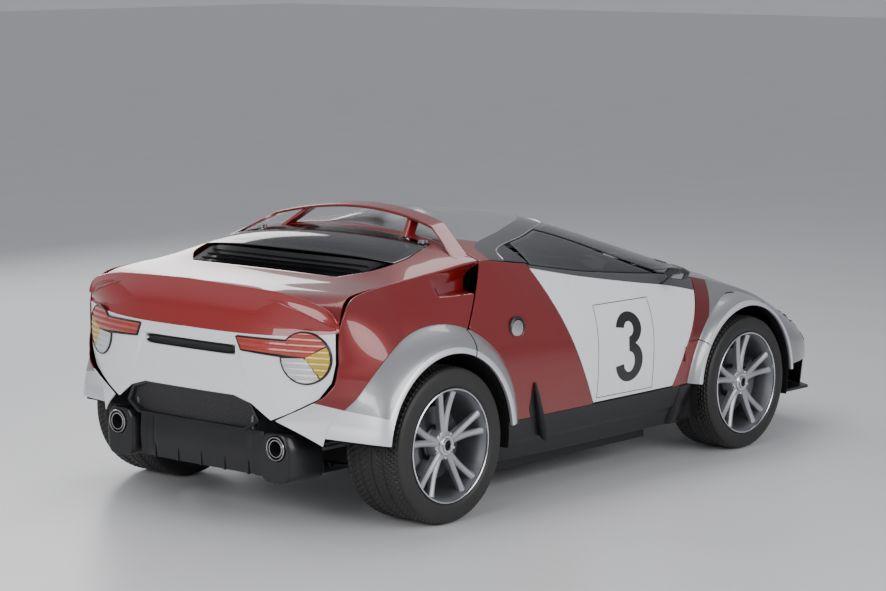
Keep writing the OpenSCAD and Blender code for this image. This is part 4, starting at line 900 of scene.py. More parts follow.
for k in range(4):
    row = np.linspace(0.2 + 0.2 * k, 0.3 + 0.2 * k, 5)
    s2, v2 = np.meshgrid(np.linspace(-0.95, 0.95, 40), row, indexing="ij")
    blade = crown(mix(window_rear - 60 * s2 * s2 + 10, louvre_rear + 6, v2), s2 * 0.6 * (1 - 0.12 * v2))
    lift = np.array([-24, -18, -12, -7, -4])[None, :, None]
    nb = normals(blade)
    nb = np.where(nb[..., 2:] < 0, -nb, nb)
    sheets += [(blade + nb * lift, False, False), (blade + nb * (lift - 3), False, False)]
grid_mesh("louvre_tray", sheets, "rear_clam", black_plastic, replaces=("louvre_panel",))

# --- Roof hoop ---
# A thin red wing bar behind the roof on two side fins and two inner posts, with bright clips.
def rounded(section, r=0.18, count=5):
    """Rounds the corners of a closed polygon, each by a short curve between points near it."""
    p = np.asarray(section, float)
    before, after = np.roll(p, 1, 0), np.roll(p, -1, 0)
    t = np.linspace(0, 1, count)[:, None]
    out = []
    for a, b, c in zip(before, p, after):
        one, two = mix(b, a, r), mix(b, c, r)
        out.append((1 - t) ** 2 * one + 2 * t * (1 - t) * b + t**2 * two)
    return np.concatenate(out)


hoop_y, hoop_x = ya_r - 465, 500.0


def hoop_pt(x):
    return np.array([x, hoop_y - 30 + 40 * (x / hoop_x) ** 2, 1332 - 62 * (x / hoop_x) ** 2])


def hoop_ring(p):
    return rounded([p + (0, -45, 0), p + (0, 45, -12), p + (0, 45, -26), p + (0, -45, -16)])


def hoop_foot(side):
    return rounded([crown(clam_front_y + b, side * a) + (0, 0, 0.9) for a,
                    b in ((0.9, 10), (0.9, 95), (0.85, 95), (0.85, 10))])


rings = [hoop_ring(hoop_pt(x)) for x in np.linspace(hoop_x, -hoop_x, 40)]
right_leg = [mix(hoop_foot(-1), rings[-1], t) for t in np.linspace(0, 1, 10)[:-1]]
left_leg = [mix(hoop_foot(1), rings[0], t) for t in np.linspace(0, 1, 10)[:-1]]
body_rings = left_leg + rings + right_leg[::-1]
caps = [np.repeat(body_rings[k].mean(0)[None], len(body_rings[0]), 0) for k in (0, -1)]
hoop = np.array([caps[0]] + body_rings + [caps[1]])
sheets = [(hoop, False, True)]
for x in (-330, 330):
    top = hoop_pt(x)
    foot = crown(clam_front_y + 38, x / 770.0) + (0, 0, -2)
    leg = []
    for t in np.linspace(0, 1, 6):
        c = mix(foot, top - (0, 0, 18), t)
        leg.append(rounded([c + (-14, -36, 0), c + (14, -36, 0), c + (14, 30, 0), c + (-14, 30, 0)]))
    sheets.append((np.array(leg), False, True))
grid_mesh("roof_hoop_bar", sheets, "rear_clam", red, replaces=("roof_hoop",))
clips = []
for side in (-1, 1):
    base = crown(window_front + 14, side * 0.585) + (0, 0, 5)
    for dy, h in ((0, 7), (22, 9)):
        c = base + (0, dy, 0)
        clips.append((np.array([rounded([c + (-16, -7, z), c + (16, -7, z), c + (16, 7, z),
                                         c + (-16, 7, z)]) for z in (-4, h - 2, h)]
                               + [np.repeat((c + (0, 0, h))[None], 20, 0)]), False, True))
grid_mesh("window_clips", clips, "rear_clam", trim_bright)

# --- Ducktail ---
# The upright spoiler that ends the deck: one hollow moulding in the body red, given a brighter red
# as painted light for the light its upright faces catch. Its outer face stands on the tail panel and
# its front face sweeps down to the deck. Bonded to the clamshell.
duck_top = [(0, 1078), (300, 1070), (500, 1058), (600, 1042), (700, 1015), (760, 984), (790, 950), (800, 920)]


def tail_y(x):
    return y_tail + 5 - 140 * (np.abs(x) / 800) ** 3


def duck_low_z(x):
    return 865 + 30 * (np.abs(x) / 800) ** 4


# A lighter, less metallic copy of the body red: painted light where the spoiler's faces catch the light.
duck_red_painted_lit = paint("red_lacquer_brightened_as_painted_light", "#930F0D", 0.05, 0.34, flake=0.05)
s = np.linspace(-edge_s, edge_s, 120)
lip = np.stack([799 * s, lip_y(s), curve(duck_top, np.abs(799 * s))], -1)
foot = np.stack([799 * s, tail_y(799 * s) - 6, duck_low_z(799 * s)], -1)
deck_end = crown(lip_y(s) - 25, s)
rows = [mix(foot, lip, t) - np.array([0, 14, 0]) * np.sin(np.pi * t) for t in np.linspace(0, 1, 12)]
rows += [lip + (0, -2.5, 3), lip + (0, -7, 3.5), lip + (0, -11, 1)]
rows += [mix(lip + (0, -12, -2), deck_end, t) for t in np.linspace(0, 1, 8)] + [deck_end - (0, 0, 7),
        foot - (0, 12, 0)]
ring = np.stack(rows, 1)
ends = [np.repeat(ring[k].mean(0)[None, None], ring.shape[1], 1) for k in (0, -1)]
grid_mesh("ducktail_skin", [(np.concatenate([ends[0], ring, ends[1]]), False, True)], "rear_clam", duck_red_painted_lit,
          replaces=("ducktail",))

# --- Tail panel ---
# White moulding across the tail, hung under the ducktail. Its middle is a shallow hollow for a
# number plate, with a hand slot at its top whose shaded inside is painted as a black tray.
low_x, low_z = [0, 285, 385, 488, 583, 713, 768, 783], [588, 588, 560, 494, 535, 604, 680, 760]
tail_white = paint("white_lacquer", white_code, 0.0, 0.26)
x, v = np.meshgrid(np.linspace(783, -783, 260), np.linspace(0, 1, 90), indexing="ij")
z = mix(np.interp(np.abs(x), low_x, low_z), duck_low_z(x) - 0.5, v)
hollow = np.clip((305 + (800 - z) * 0.42 - np.abs(x)) / 9, 0, 1) * np.clip((z - 625) / 150, 0,
        1) * np.clip((812 - z) / 6, 0, 1)
slot_in = np.clip((286 - np.abs(x)) / 6, 0, 1) * np.clip((808 - z) / 5, 0, 1) * np.clip((z - 764) / 5, 0, 1)
tail = np.stack([x, tail_y(x) - 11 * hollow - 20 * slot_in, z], -1)
panel("tail_skin", tail, "rear_clam", tail_white, 5, 2, replaces=("tail_panel",),
      out=(0, 1, 0))
# A black tray set in the slot's recess: painted shade for the dark inside of the hand slot.
x, a = np.meshgrid(np.linspace(-283, 283, 60), np.linspace(0, 1, 14), indexing="ij")
fall = 19.5 * np.sqrt(np.clip(1 - (np.abs(x) / 286) ** 14, 0, 1))
z = 786 + mix(-fall, fall, a)
tray = np.stack([x, tail_y(x) - 12 - 15 * np.sin(np.pi * a) ** 0.6, z], -1)
panel("hand_slot_shade_tray", tray, "rear_clam", black_plastic, 2, 0.8, out=(0, 1, 0))

# --- Tail lamps ---
# Each lamp is a ribbed round lens with a long bar: orange above, clear below, and a yellow
# wedge outside, in a dark frame that is screwed to the tail panel from behind.
def lens(name, code, deep):
    """Ribbed coloured plastic: colour clouded by depth, lit a little from inside, very smooth."""
    material, tree, shader, where = blank(name)
    cells = put(tree, "ShaderNodeTexVoronoi", {"Vector": where, "Scale": 130.0})
    cloud = put(tree, "ShaderNodeTexNoise", {"Vector": where, "Scale": 14.0, "Detail": 4.0})
    tone = put(tree, "ShaderNodeMix", {"Factor": cloud.outputs[0], "A": linear(deep), "B": linear(code)},
               data_type="RGBA")
    tree.links.new(tone.outputs["Result"], shader.inputs["Base Color"])
    tree.links.new(tone.outputs["Result"], shader.inputs["Emission Color"])
    shader.inputs["Emission Strength"].default_value = 0.05
    bump = put(tree, "ShaderNodeBump", {"Height": cells.outputs["Distance"], "Strength": 0.25,
                                        "Distance": 0.001})
    tree.links.new(bump.outputs[0], shader.inputs["Normal"])
    polish = put(tree, "ShaderNodeMapRange", {"Value": cloud.outputs[0], "To Min": 0.10, "To Max": 0.2})
    tree.links.new(polish.outputs[0], shader.inputs["Roughness"])
    shader.inputs["Coat Weight"].default_value = 1.0
    return material


lens_red = lens("orange_red_ribbed_lens", "#B93A22", "#8E1D12")
lens_clear = lens("clear_ribbed_lens", "#DCDCDA", "#A9ABAE")
lens_yellow = lens("yellow_ribbed_lens", "#D2B010", "#A8850A")
lamp_x, lamp_z, lamp_r = 656.0, 781.0, 112.0


def on_tail(p, q, lift):
    """A point of the lamp face: p outwards and q upwards from the middle of its round lens."""
    return np.stack([lamp_x + p, tail_y(lamp_x + p) + lift, lamp_z + q], -1)


def ribs(q):
    return 3.2 * np.abs(np.sin(np.pi * q / 26))


def lamp_outline():
    """The lamp's edge: along the bar's top, round the circle, back along the bar's foot."""
    a = np.radians(np.linspace(138, -176, 90))
    top = np.stack([np.linspace(-350, -84, 30), np.full(30, 72.0)], -1)
    low = np.stack([np.linspace(-113, -322, 30), np.linspace(0, 12, 30)], -1)
    return np.concatenate([top, np.stack([113 * np.cos(a), 113 * np.sin(a)], -1), low])


edge = lamp_outline()
frames, backs = [], []
for side in (-1, 1):
    loop = on_tail(edge[:, 0], edge[:, 1], 2.5) * (side, 1, 1)
    t = np.gradient(np.concatenate([loop[-1:], loop, loop[:1]]), axis=0)[1:-1]
    t /= np.linalg.norm(t, axis=1, keepdims=True)
    b = np.cross(t, (0, 1, 0))
    a = np.linspace(0, 2 * np.pi, 10, endpoint=False)
    frames.append((loop[:, None] + 4.2 * np.cos(a)[None, :, None] * b[:, None] + 7 * np.sin(a)[None, :,
            None] * np.array([0, 1, 0]), True, True))
    t = np.linspace(0, 1, 8)[:, None, None]
    inside = mix(np.array([-60.0, 42.0]), edge[None], t)
    backs.append((on_tail(inside[..., 0], inside[..., 1], 1.5) * (side, 1, 1), False, True))
grid_mesh("lamp_frames", frames, "rear_clam", black_plastic)
grid_mesh("lamp_backs", backs, "rear_clam", black_plastic, replaces=("tail_lamps",))
k, v = np.meshgrid(np.linspace(0, 1, 90), np.linspace(0, 1, 36), indexing="ij")
p = mix(-346.0, 94.0, k)
high = np.where(p < -82, 68.0, np.sqrt(np.maximum(110.0**2 - p**2, 0)))
low = np.where(p < 0, mix(16.0, 3.0, (p + 346) / 346), p * 0.60 + 3)
q = mix(low, np.maximum(high, low + 0.5), v)
bar = on_tail(p + 28 * (1 - v) * (1 - k), q, 5 + ribs(q - 8))
panel("lamp_orange", bar, "rear_clam", lens_red, 4, 1.5, mirror=True, out=(0, 1, 0))
for name, a0, a1, material in (("lamp_clear", 184, 306, lens_clear), ("lamp_yellow", 309, 389, lens_yellow)):
    r, a = np.meshgrid(np.linspace(5, 109, 34), np.radians(np.linspace(a0, a1, 40)), indexing="ij")
    q = r * np.sin(a)
    face = on_tail(r * np.cos(a), q, 5 + ribs(q - 8))
    panel(name, face, "rear_clam", material, 4, 1.5, mirror=True, out=(0, 1, 0))

# --- Tail grille and valance ---
# A black wire grille closes the opening under the tail panel and tilts with it. The black
# valance below it, with upright fins, is fixed between the rounded tail pipe housings.
mesh_black, tree, shader, where = blank("black_wire_mesh")
turn = put(tree, "ShaderNodeMapping", {"Vector": where, "Rotation": (0, math.radians(45), 0)})
web_a = put(tree, "ShaderNodeTexWave", {"Vector": turn.outputs[0], "Scale": 26.0}, bands_direction="X")
web_b = put(tree, "ShaderNodeTexWave", {"Vector": turn.outputs[0], "Scale": 26.0}, bands_direction="Z")
web = put(tree, "ShaderNodeMath", {0: web_a.outputs["Fac"], 1: web_b.outputs["Fac"]}, operation="MAXIMUM")
solid = put(tree, "ShaderNodeMapRange", {"Value": web.outputs[0], "From Min": 0.7, "From Max": 0.9})
tone = put(tree, "ShaderNodeMix", {"Factor": solid.outputs[0], "A": linear("#040404"), "B": linear("#1B1B1D")},
           data_type="RGBA")
tree.links.new(tone.outputs["Result"], shader.inputs["Base Color"])
bump = put(tree, "ShaderNodeBump", {"Height": web.outputs[0], "Strength": 0.8, "Distance": 0.004})
tree.links.new(bump.outputs[0], shader.inputs["Normal"])
shader.inputs["Roughness"].default_value = 0.4
g_x = lambda z: np.interp(z, [436, 484, 560, 586], [345, 425, 380, 292])
u, z = np.meshgrid(np.linspace(-1, 1, 60), np.linspace(436, 586, 24), indexing="ij")
x = u * (g_x(z) - 16)
panel("tail_grille", np.stack([x, tail_y(x) - 24 - 6 * np.cos((z - 436) / 150 * np.pi), z], -1), "rear_clam",
      mesh_black, 4, 1, out=(0, 1, 0))
loop_z = np.concatenate([np.linspace(436, 586, 30), np.linspace(586, 436, 30)])
loop_x = np.concatenate([g_x(np.linspace(436, 586, 30)), -g_x(np.linspace(586, 436, 30))])
rim_rings = []
for x0, z0 in zip(loop_x, loop_z):
    inward = np.array([-np.sign(x0) * 0.8, 0, 0.6 if z0 < 484 else -0.6])
    c = np.array([x0, tail_y(x0), z0])
    rim_rings.append([c + (0, -3, 0), c + (0, -6, 0) + inward * 14, c + (0, -30, 0) + inward * 24,
                      c + (0, -32, 0) + inward * 20, c + (0, -12, 0)])
grid_mesh("grille_frame", [(np.array(rim_rings), True, True)], "rear_clam", black_plastic, smooth=30)
u, z = np.meshgrid(np.linspace(-1, 1, 50), np.linspace(228, 429, 30), indexing="ij")
x = u * 396
crease = 8 * np.clip((np.abs(x) - 300) / 20, 0, 1) * np.clip((np.abs(x) - 400) / -20, 0, 1)
panel("valance_skin", np.stack([x, 1744 - 6 * np.cos((z - 228) / 201 * np.pi * 2) * 0.5 - crease, z], -1),
      "chassis", black_plastic, 8, 2,
      replaces=("rear_valance",), out=(0, 1, 0))
fins = []
for x in (-300, -150, 0, 150, 300):
    ring = [np.array([[x - w_, 1746 - k * 150, z_]
                      for w_, z_ in ((-5, 226), (-4, 232 - 6 + 60 * (1 - k)), (4, 232 - 6 + 60 * (1 - k)), (5, 226))],
                     float)
            for k in np.linspace(0, 1, 8)]
    ring = [ring[0].mean(0)[None].repeat(4, 0)] + ring + [ring[-1].mean(0)[None].repeat(4, 0)]
    fins.append((np.array(ring), False, True))
grid_mesh("diffuser_fins", fins, "chassis", black_plastic, smooth=30)


def housing_ring(y, z_top, x_out, x_in):
    """A section of a tail pipe housing: rounded, higher in its middle."""
    return rounded([(x_in, y, 218), (x_out, y, 218), (x_out + 2, y, z_top - 70), (x_out - 26, y, z_top),
                    (x_in + 26, y, z_top), (x_in, y, z_top - 40)], 0.3, 8)


houses = []
for side in (-1, 1):
    loops = [housing_ring(y, zt, xo, xi) for y, zt, xo, xi in
             ((1577, 412, 596, 404), (1650, 424, 598, 404), (1740, 436, 594, 405), (1762, 438, 588, 408),
              (1774, 436, 580, 414), (1779, 430, 572, 420))]
    last = loops[-1]
    a = np.arctan2(last[:, 2] - 371, last[:, 0] - 510)
    mouth = np.stack([510 + 59 * np.cos(a), 0 * a + 1779, 371 + 59 * np.sin(a)], -1)
    loops += [mix(last, mouth, t) for t in (0.4, 0.8, 1.0)] + [mouth - (0, 6,
            0) - (mouth - (510, 1779, 371)) * (0.04, 0, 0.04),
                mouth - (0, 120, 0) - (mouth - (510, 1779, 371)) * (0.04, 0, 0.04)]
    houses.append((np.array(loops) * (side, 1, 1), False, True))
grid_mesh("pipe_housings", houses, "chassis", black_plastic, smooth=35)

# --- Tail pipes ---
# Polished double-walled stainless pipes, sooty inside, welded to the silencer forward of them.
steel, tree, shader, where = blank("polished_stainless_steel")
brush = put(tree, "ShaderNodeTexNoise", {"Vector": where, "Scale": 240.0, "Detail": 3.0})
heat = put(tree, "ShaderNodeTexNoise", {"Vector": where, "Scale": 12.0, "Detail": 4.0})
tone = put(tree, "ShaderNodeMix", {"Factor": heat.outputs[0], "A": linear("#C9C9CC"), "B": linear("#A5A3A0")},
           data_type="RGBA")
tree.links.new(tone.outputs["Result"], shader.inputs["Base Color"])
polish = put(tree, "ShaderNodeMapRange", {"Value": brush.outputs[0], "To Min": 0.14, "To Max": 0.3})
tree.links.new(polish.outputs[0], shader.inputs["Roughness"])
shader.inputs["Metallic"].default_value = 1.0
soot, tree, shader, where = blank("sooty_pipe_lining")
haze = put(tree, "ShaderNodeTexNoise", {"Vector": where, "Scale": 60.0, "Detail": 6.0})
tone = put(tree, "ShaderNodeMix", {"Factor": haze.outputs[0], "A": linear("#050505"), "B": linear("#17130F")},
           data_type="RGBA")
tree.links.new(tone.outputs["Result"], shader.inputs["Base Color"])
shader.inputs["Roughness"].default_value = 0.9
outer_pipe = [(52, 1195), (52, 1700), (52, 1774), (53.5, 1780), (54, 1784), (52, 1787), (48.5, 1786),
              (47, 1780), (46.5, 1700), (46.5, 1200)]
inner_pipe = [(41, 1600), (41, 1776), (41, 1782), (39, 1784.5), (35, 1784), (34, 1778), (34, 1600)]
sheets, dark = [], []
for x in (-510, 510):
    sheets += [(lathe(outer_pipe, (x, 0, 371), 1, 56), True, True),
               (lathe(inner_pipe, (x, 0, 371), 1, 56), True, True)]
    dark += [(lathe([(46, 1640), (41.5, 1640)], (x, 0, 371), 1, 48), False, True),
             (lathe([(33.9, 1774), (33.5, 1640), (20, 1610), (0.1, 1605)], (x, 0, 371), 1, 48), False, True)]
grid_mesh("tail_pipes", sheets, "chassis", steel, replaces=("exhausts",))
grid_mesh("pipe_linings", dark, "chassis", soot)

# --- Wheels ---
# One-piece cast rims with five pairs of spokes, a bright turned lip and a centre-lock nut, each
# with a brake disc behind it. They turn on the stub axles with their tyres.
def cast(name, light, dark_code, rough, metallic=0.9):
    """Lacquered cast or turned metal: tone by a fine cloud, faint grain in roughness and bump."""
    material, tree, shader, where = blank(name)
    grain = put(tree, "ShaderNodeTexNoise", {"Vector": where, "Scale": 500.0, "Detail": 2.0})
    cloud = put(tree, "ShaderNodeTexNoise", {"Vector": where, "Scale": 11.0, "Detail": 5.0})
    tone = put(tree, "ShaderNodeMix", {"Factor": cloud.outputs[0], "A": linear(dark_code), "B": linear(light)},
               data_type="RGBA")
    tree.links.new(tone.outputs["Result"], shader.inputs["Base Color"])
    polish = put(tree, "ShaderNodeMapRange", {"Value": cloud.outputs[0], "To Min": rough,
                                              "To Max": rough + 0.14})
    tree.links.new(polish.outputs[0], shader.inputs["Roughness"])
    bump = put(tree, "ShaderNodeBump", {"Height": grain.outputs[0], "Strength": 0.12, "Distance": 0.0005})
    tree.links.new(bump.outputs[0], shader.inputs["Normal"])
    shader.inputs["Metallic"].default_value = metallic
    return material


rim_grey = cast("lacquered_cast_aluminium", "#C4C5C9", "#A2A3A8", 0.34, 0.75)
rim_dark = cast("grey_rim_barrel", "#8C8D91", "#6C6D71", 0.40, 0.75)
rim_bright = cast("turned_aluminium_lip", "#E6E7EA", "#CFD0D3", 0.16, 1.0)
disc_iron = cast("machined_brake_iron", "#77787B", "#58595C", 0.34, 1.0)
caliper_grey = paint("caliper_enamel", "#5A5B60", 0.5, 0.4, flake=0.04)
rubber, tree, shader, where = blank("tyre_rubber")
grain = put(tree, "ShaderNodeTexNoise", {"Vector": where, "Scale": 260.0, "Detail": 4.0})
dusty = put(tree, "ShaderNodeTexNoise", {"Vector": where, "Scale": 7.0, "Detail": 6.0})
tone = put(tree, "ShaderNodeMix", {"Factor": dusty.outputs[0], "A": linear("#191919"), "B": linear("#2C2B2B")},
           data_type="RGBA")
tree.links.new(tone.outputs["Result"], shader.inputs["Base Color"])
polish = put(tree, "ShaderNodeMapRange", {"Value": dusty.outputs[0], "To Min": 0.44, "To Max": 0.6})
tree.links.new(polish.outputs[0], shader.inputs["Roughness"])
bump = put(tree, "ShaderNodeBump", {"Height": grain.outputs[0], "Strength": 0.2, "Distance": 0.0006})
tree.links.new(bump.outputs[0], shader.inputs["Normal"])
rim_r = 258.0


def spoke(pair, lean, face):
    """One spoke: rounded chamfered sections from the hub out to the rim, turning away from its twin."""
    rings = []
    for t in np.linspace(0, 1, 14):
        r = mix(52, 240, t)
        a = math.radians(pair + lean * mix(4.5, 10.5, t**0.8))
        wide = mix(17, 13, t) + 5 * t**6
        front = face - 36 + 16 * t - 7 * math.sin(math.pi * t)
        deep = mix(42, 26, t)
        section = rounded([(-wide, front - deep), (-wide, front - 9), (-wide * 0.35, front),
                           (wide * 0.35, front), (wide, front - 9), (wide, front - deep)], 0.16, 4)
        along, across = np.array([math.cos(a), math.sin(a)]), np.array([-math.sin(a), math.cos(a)])
        rings.append([(d, *(along * r + across * w)) for w, d in section])
    return np.array(rings)


def tread(w, r, face, count=252):
    """Tyre: a rounded profile turned about the axle, cut by three ring grooves and slanted side grooves."""
    half = w / 2
    d = np.concatenate([[-half + 12, -half + 3, -half, -half + 1, -half + 3, -half + 7, -half + 13],
                        np.linspace(-half + 20, half - 20, 60),
                        [half - 13, half - 7, half - 3, half - 1, half, half - 3, half - 12]])
    rr = np.concatenate([[258.6, 268, 279, 300, r - 24, r - 13, r - 7], np.full(60, float(r)),
                         [r - 7, r - 13, r - 24, 300, 279, 268, 258.6]])
    a = np.linspace(0, 2 * np.pi, count, endpoint=False)
    across, turn = np.meshgrid(d, a, indexing="ij")
    radius = np.repeat(rr[:, None], count, 1)
    radius = radius - 5 * np.clip((np.abs(across) - (half - 52)) / 32, 0,
                                  1) ** 2 * (np.abs(across) <= half - 20)
    ring_cut = np.zeros_like(across)
    for g in (-0.42, 0.0, 0.42):
        ring_cut = np.maximum(ring_cut, np.clip(6.5 - np.abs(across - g * half), 0, 3) / 3)
    slant = np.abs(((turn * 42 / np.pi + np.abs(across) * 0.022) % 1.0) - 0.5)
    side_cut = (slant < 0.13) * (np.abs(across) < half - 15) * (np.abs(across) > 0.14 * half)
    radius = radius - 6.5 * np.maximum(ring_cut, side_cut)
    return np.stack([across + face - half, radius * np.cos(turn), radius * np.sin(turn)], -1)


for word, side, yc, zc, face, w, r in (("front_right", -1, ya_f, 338, 952, 265, 338),
                                       ("front_left", 1, ya_f, 338, 952, 265, 338),
                                       ("rear_right", -1, ya_r, 352, 982, 325, 352),
                                           ("rear_left", 1, ya_r, 352, 982, 325, 352)):
    hub = np.array([0, yc, zc], float)
    body = word + "_wheel"
    turn = (side, 1, 1)
    lip = [(257.9, face - 9), (256, face - 4), (252, face - 2), (249, face - 4), (248, face - 9),
           (250, face - 15), (257.9, face - 15)]
    barrel = [(250, face - 12), (240, face - 26), (231, face - 60), (228, face - w / 2), (234, face - w + 30),
              (252, face - w + 12),
              (257.9, face - w + 8), (257.9, face - w + 18), (240, face - w + 34), (234, face - w / 2),
                  (240, face - 50), (257.9, face - 26)]
    core = [(31, face - w + 90), (70, face - w + 90), (72, face - 110), (70, face - 62), (64, face - 44),
            (52, face - 38), (34, face - 38), (31, face - 40)]
    spokes = [(spoke(18 + 72 * k, lean, face) * turn + hub, False, True) for k in range(5) for lean in (-1, 1)]
    grid_mesh(f"rim_spokes_{word}", spokes + [(lathe(core, (0, 0, 0), 0, 60) * turn + hub, True, True)], body,
              rim_grey, 35,
              (f"rim_{word}",))
    grid_mesh(f"rim_barrel_{word}", [(lathe(barrel, (0, 0, 0), 0, 120) * turn + hub, True, True)], body,
              rim_dark, 35)
    nut = [(33, face - 42), (33, face - 26), (31, face - 22), (24, face - 21), (22, face - 24), (22, face - 42)]
    washer = lathe([(22, face - 40), (46, face - 40), (46, face - 32), (43, face - 29), (34, face - 29),
                    (22, face - 30)], (0, 0, 0), 0, 60)
    bright = [(lathe(lip, (0, 0, 0), 0, 140) * turn + hub, True, True),
              (lathe(nut, (0, 0, 0), 0, 48) * turn + hub, True, True),
              (washer * turn + hub, True, True)]
    for k in range(5):
        a = math.radians(54 + 72 * k)
        pin = lathe([(0.1, face - 44), (0.1, face - 35), (4.5, face - 35), (6.5, face - 37), (6.5, face - 44)],
                    (0, 58 * math.cos(a), 58 * math.sin(a)), 0, 16)
        bright.append((pin * turn + hub, False, True))
    grid_mesh(f"rim_lip_{word}", bright, body, rim_bright, 35)
    disc = [(74, face - 112), (164, face - 112), (166, face - 114), (166, face - 122), (164, face - 124),
            (74, face - 124), (74, face - 118)]
    sheets = [(lathe(disc, (0, 0, 0), 0, 90) * turn + hub, True, True)]
    bell = [(71, face - 90), (80, face - 92), (84, face - 98), (84, face - 126), (74, face - 128),
            (71, face - 126)]
    sheets.append((lathe(bell, (0, 0, 0), 0, 60) * turn + hub, True, True))
    grid_mesh(f"brake_disc_{word}", sheets, body, disc_iron, 35)
    holder = ("right_knuckle" if side < 0 else "left_knuckle") if "front" in word else "chassis"
    around = np.radians(np.linspace(150, 210, 16)) if "front" in word else np.radians(np.linspace(-30, 30, 16))
    section = rounded([(196, face - 88), (196, face - 152), (122, face - 152), (122, face - 131),
                       (174, face - 131), (174, face - 105), (122, face - 105), (122, face - 88)], 0.2, 4)
    rings = np.array([[(d, q * math.cos(a), q * math.sin(a)) for q, d in section] for a in around])
    ends = [rings[k].mean(0)[None, None].repeat(len(section), 1) for k in (0, -1)]
    grid_mesh(f"brake_caliper_{word}", [(np.concatenate([ends[0], rings, ends[1]]) * turn + hub, False, True)],
              holder, caliper_grey, 35)
    grid_mesh(f"tyre_tread_{word}", [(tread(w, r, face) * turn + hub, True, True)], body, rubber, 32,
              (f"tyre_{word}",))

# --- Sills and wheel housings ---
# Black composite sills hang under the doors, each with a step block behind the front wheel. Thin
# black liners close the wheel arches; the rear ones are split where the clamshell lifts.
y, v = np.meshgrid(np.linspace(-750, 730, 120), np.linspace(0, 1, 24), indexing="ij")
z = mix(178 + 8 * np.clip((y - 300) / 400, 0, 1), 384.4, v)
sill = flank(y, z)
kick = 9 * np.clip((v - 0.42) / 0.05, 0, 1) - 7 * np.clip((y - 560) / 120, 0, 1) * (1 - v)
sill[..., 0] -= 0.22 * (385 - z) + 8 - kick
panel("sill_skin", sill, "chassis", black_plastic, 10, 4, replaces=("side_sills",),
      mirror=True, out=(1, 0, 0))
sheets = []
for side in (-1, 1):
    rings = []
    for z in (182, 186, 250, 330, 381, 384):
        base = flank(np.array([-748.0, -640.0]), np.array([float(z)] * 2))[:, 0] - 0.22 * (385 - z)
        pull = 4 if z in (182, 384) else 0
        rings.append(rounded([(760, -716, z), (base[0] + 10 - pull, -744, z), (base[1] + 14 - pull, -646, z),
                              (760, -612, z)], 0.15, 4))
    ends = [rings[k].mean(0)[None].repeat(len(rings[0]), 0) for k in (0, -1)]
    sheets.append((np.array([ends[0]] + rings + [ends[1]]) * (side, 1, 1), False, True))
grid_mesh("sill_blocks", sheets, "chassis", black_plastic, 35)
liner, tree, shader, where = blank("fibrous_wheel_housing")
felt = put(tree, "ShaderNodeTexNoise", {"Vector": where, "Scale": 180.0, "Detail": 6.0})
tone = put(tree, "ShaderNodeMix", {"Factor": felt.outputs[0], "A": linear("#050505"), "B": linear("#121212")},
           data_type="RGBA")
tree.links.new(tone.outputs["Result"], shader.inputs["Base Color"])
bump = put(tree, "ShaderNodeBump", {"Height": felt.outputs[0], "Strength": 0.4, "Distance": 0.002})
tree.links.new(bump.outputs[0], shader.inputs["Normal"])
shader.inputs["Roughness"].default_value = 0.9


def housing(yc, zc, a0, a1, xs, rs, cap):
    """Inside of a wheel arch: a strip that follows the arch, its radius changing across the car."""
    phi, k = np.meshgrid(np.radians(np.linspace(a0, a1, 60)), np.arange(len(xs)), indexing="ij")
    r = np.array(rs, float)[k]
    y = yc + r * np.cos(phi)
    under_skin = side_top_z(np.clip(y, -2000, 1680)) - 34
    return np.stack([np.array(xs, float)[k], y, np.minimum(zc + r * np.sin(phi), np.minimum(cap, under_skin))],
                    -1)


front_in = housing(ya_f, 338, -18, 196, (496, 500, 700, 850, 885, 930), (466, 468, 468, 464, 404, 398), 790)
panel("front_housings", front_in, "chassis", liner, 3, 1, mirror=True, out=(0, 0, -1))
phi, k = np.meshgrid(np.radians(np.linspace(-18, 196, 60)), np.linspace(0, 1, 14), indexing="ij")
wall_y = ya_f + 464 * k * np.cos(phi)
wall_z = np.minimum(338 + 464 * k * np.sin(phi), side_top_z(wall_y) - 34)
wall = np.stack([0 * k + 497, wall_y, wall_z], -1)
panel("front_housing_walls", wall[:, 1:], "chassis", liner, 3, 1, mirror=True, out=(1, 0, 0))
for name, body, a0, a1 in (("rear_housings_fixed", "chassis", split_phi + 1.2, 190),
                           ("rear_housings", "rear_clam", 6, split_phi - 1.2)):
    strip = housing(ya_r, 352, a0, a1, (600, 604, 800, 930, 960), (418, 420, 420, 419, 416), 1200)
    panel(name, strip, body, liner, 3, 1, mirror=True, out=(0, 0, -1))

# --- Front bumper and headlamps ---
# The lower front is a black moulding round a wire-mesh intake. Each headlamp is a smoked cover
# set flush on the fender over two round lamps; coloured marker strips sit on the nose corners.
x, v = np.meshgrid(np.linspace(-735, 735, 160), np.linspace(0, 1, 40), indexing="ij")
nose_y = y_nose + 12 + 150 * (np.abs(x) / 740) ** 3 + 26 - 26 * v
mouth = np.clip((470 - np.abs(x)) / 16, 0, 1) * np.clip((v - 0.16) / 0.08, 0, 1) * np.clip((0.86 - v) / 0.08, 0,
        1)
duct = np.clip((40 - np.abs(np.abs(x) - 600)) / 14, 0, 1) * np.clip((v - 0.2) / 0.1, 0,
        1) * np.clip((0.8 - v) / 0.1, 0, 1)
front = np.stack([x, nose_y + 26 * mouth + 14 * duct, mix(205, 352, v)], -1)
panel("front_bumper_skin", front, "chassis", black_plastic, 6, 3, replaces=("front_bumper",),
      out=(0, -1, 0))
x, v = np.meshgrid(np.linspace(-462, 462, 80), np.linspace(0.21, 0.81, 16), indexing="ij")
net = np.stack([x, (y_nose + 12 + 150 * (np.abs(x) / 740) ** 3 + 26 - 26 * v + 14
                    - 6 * np.sin(np.pi * (v - 0.21) / 0.6)), mix(205, 352, v)], -1)
panel("front_grille", net, "chassis", mesh_black, 3, 1, out=(0, -1, 0))
x, v = np.meshgrid(np.linspace(-655, 655, 110), np.linspace(0, 1, 12), indexing="ij")
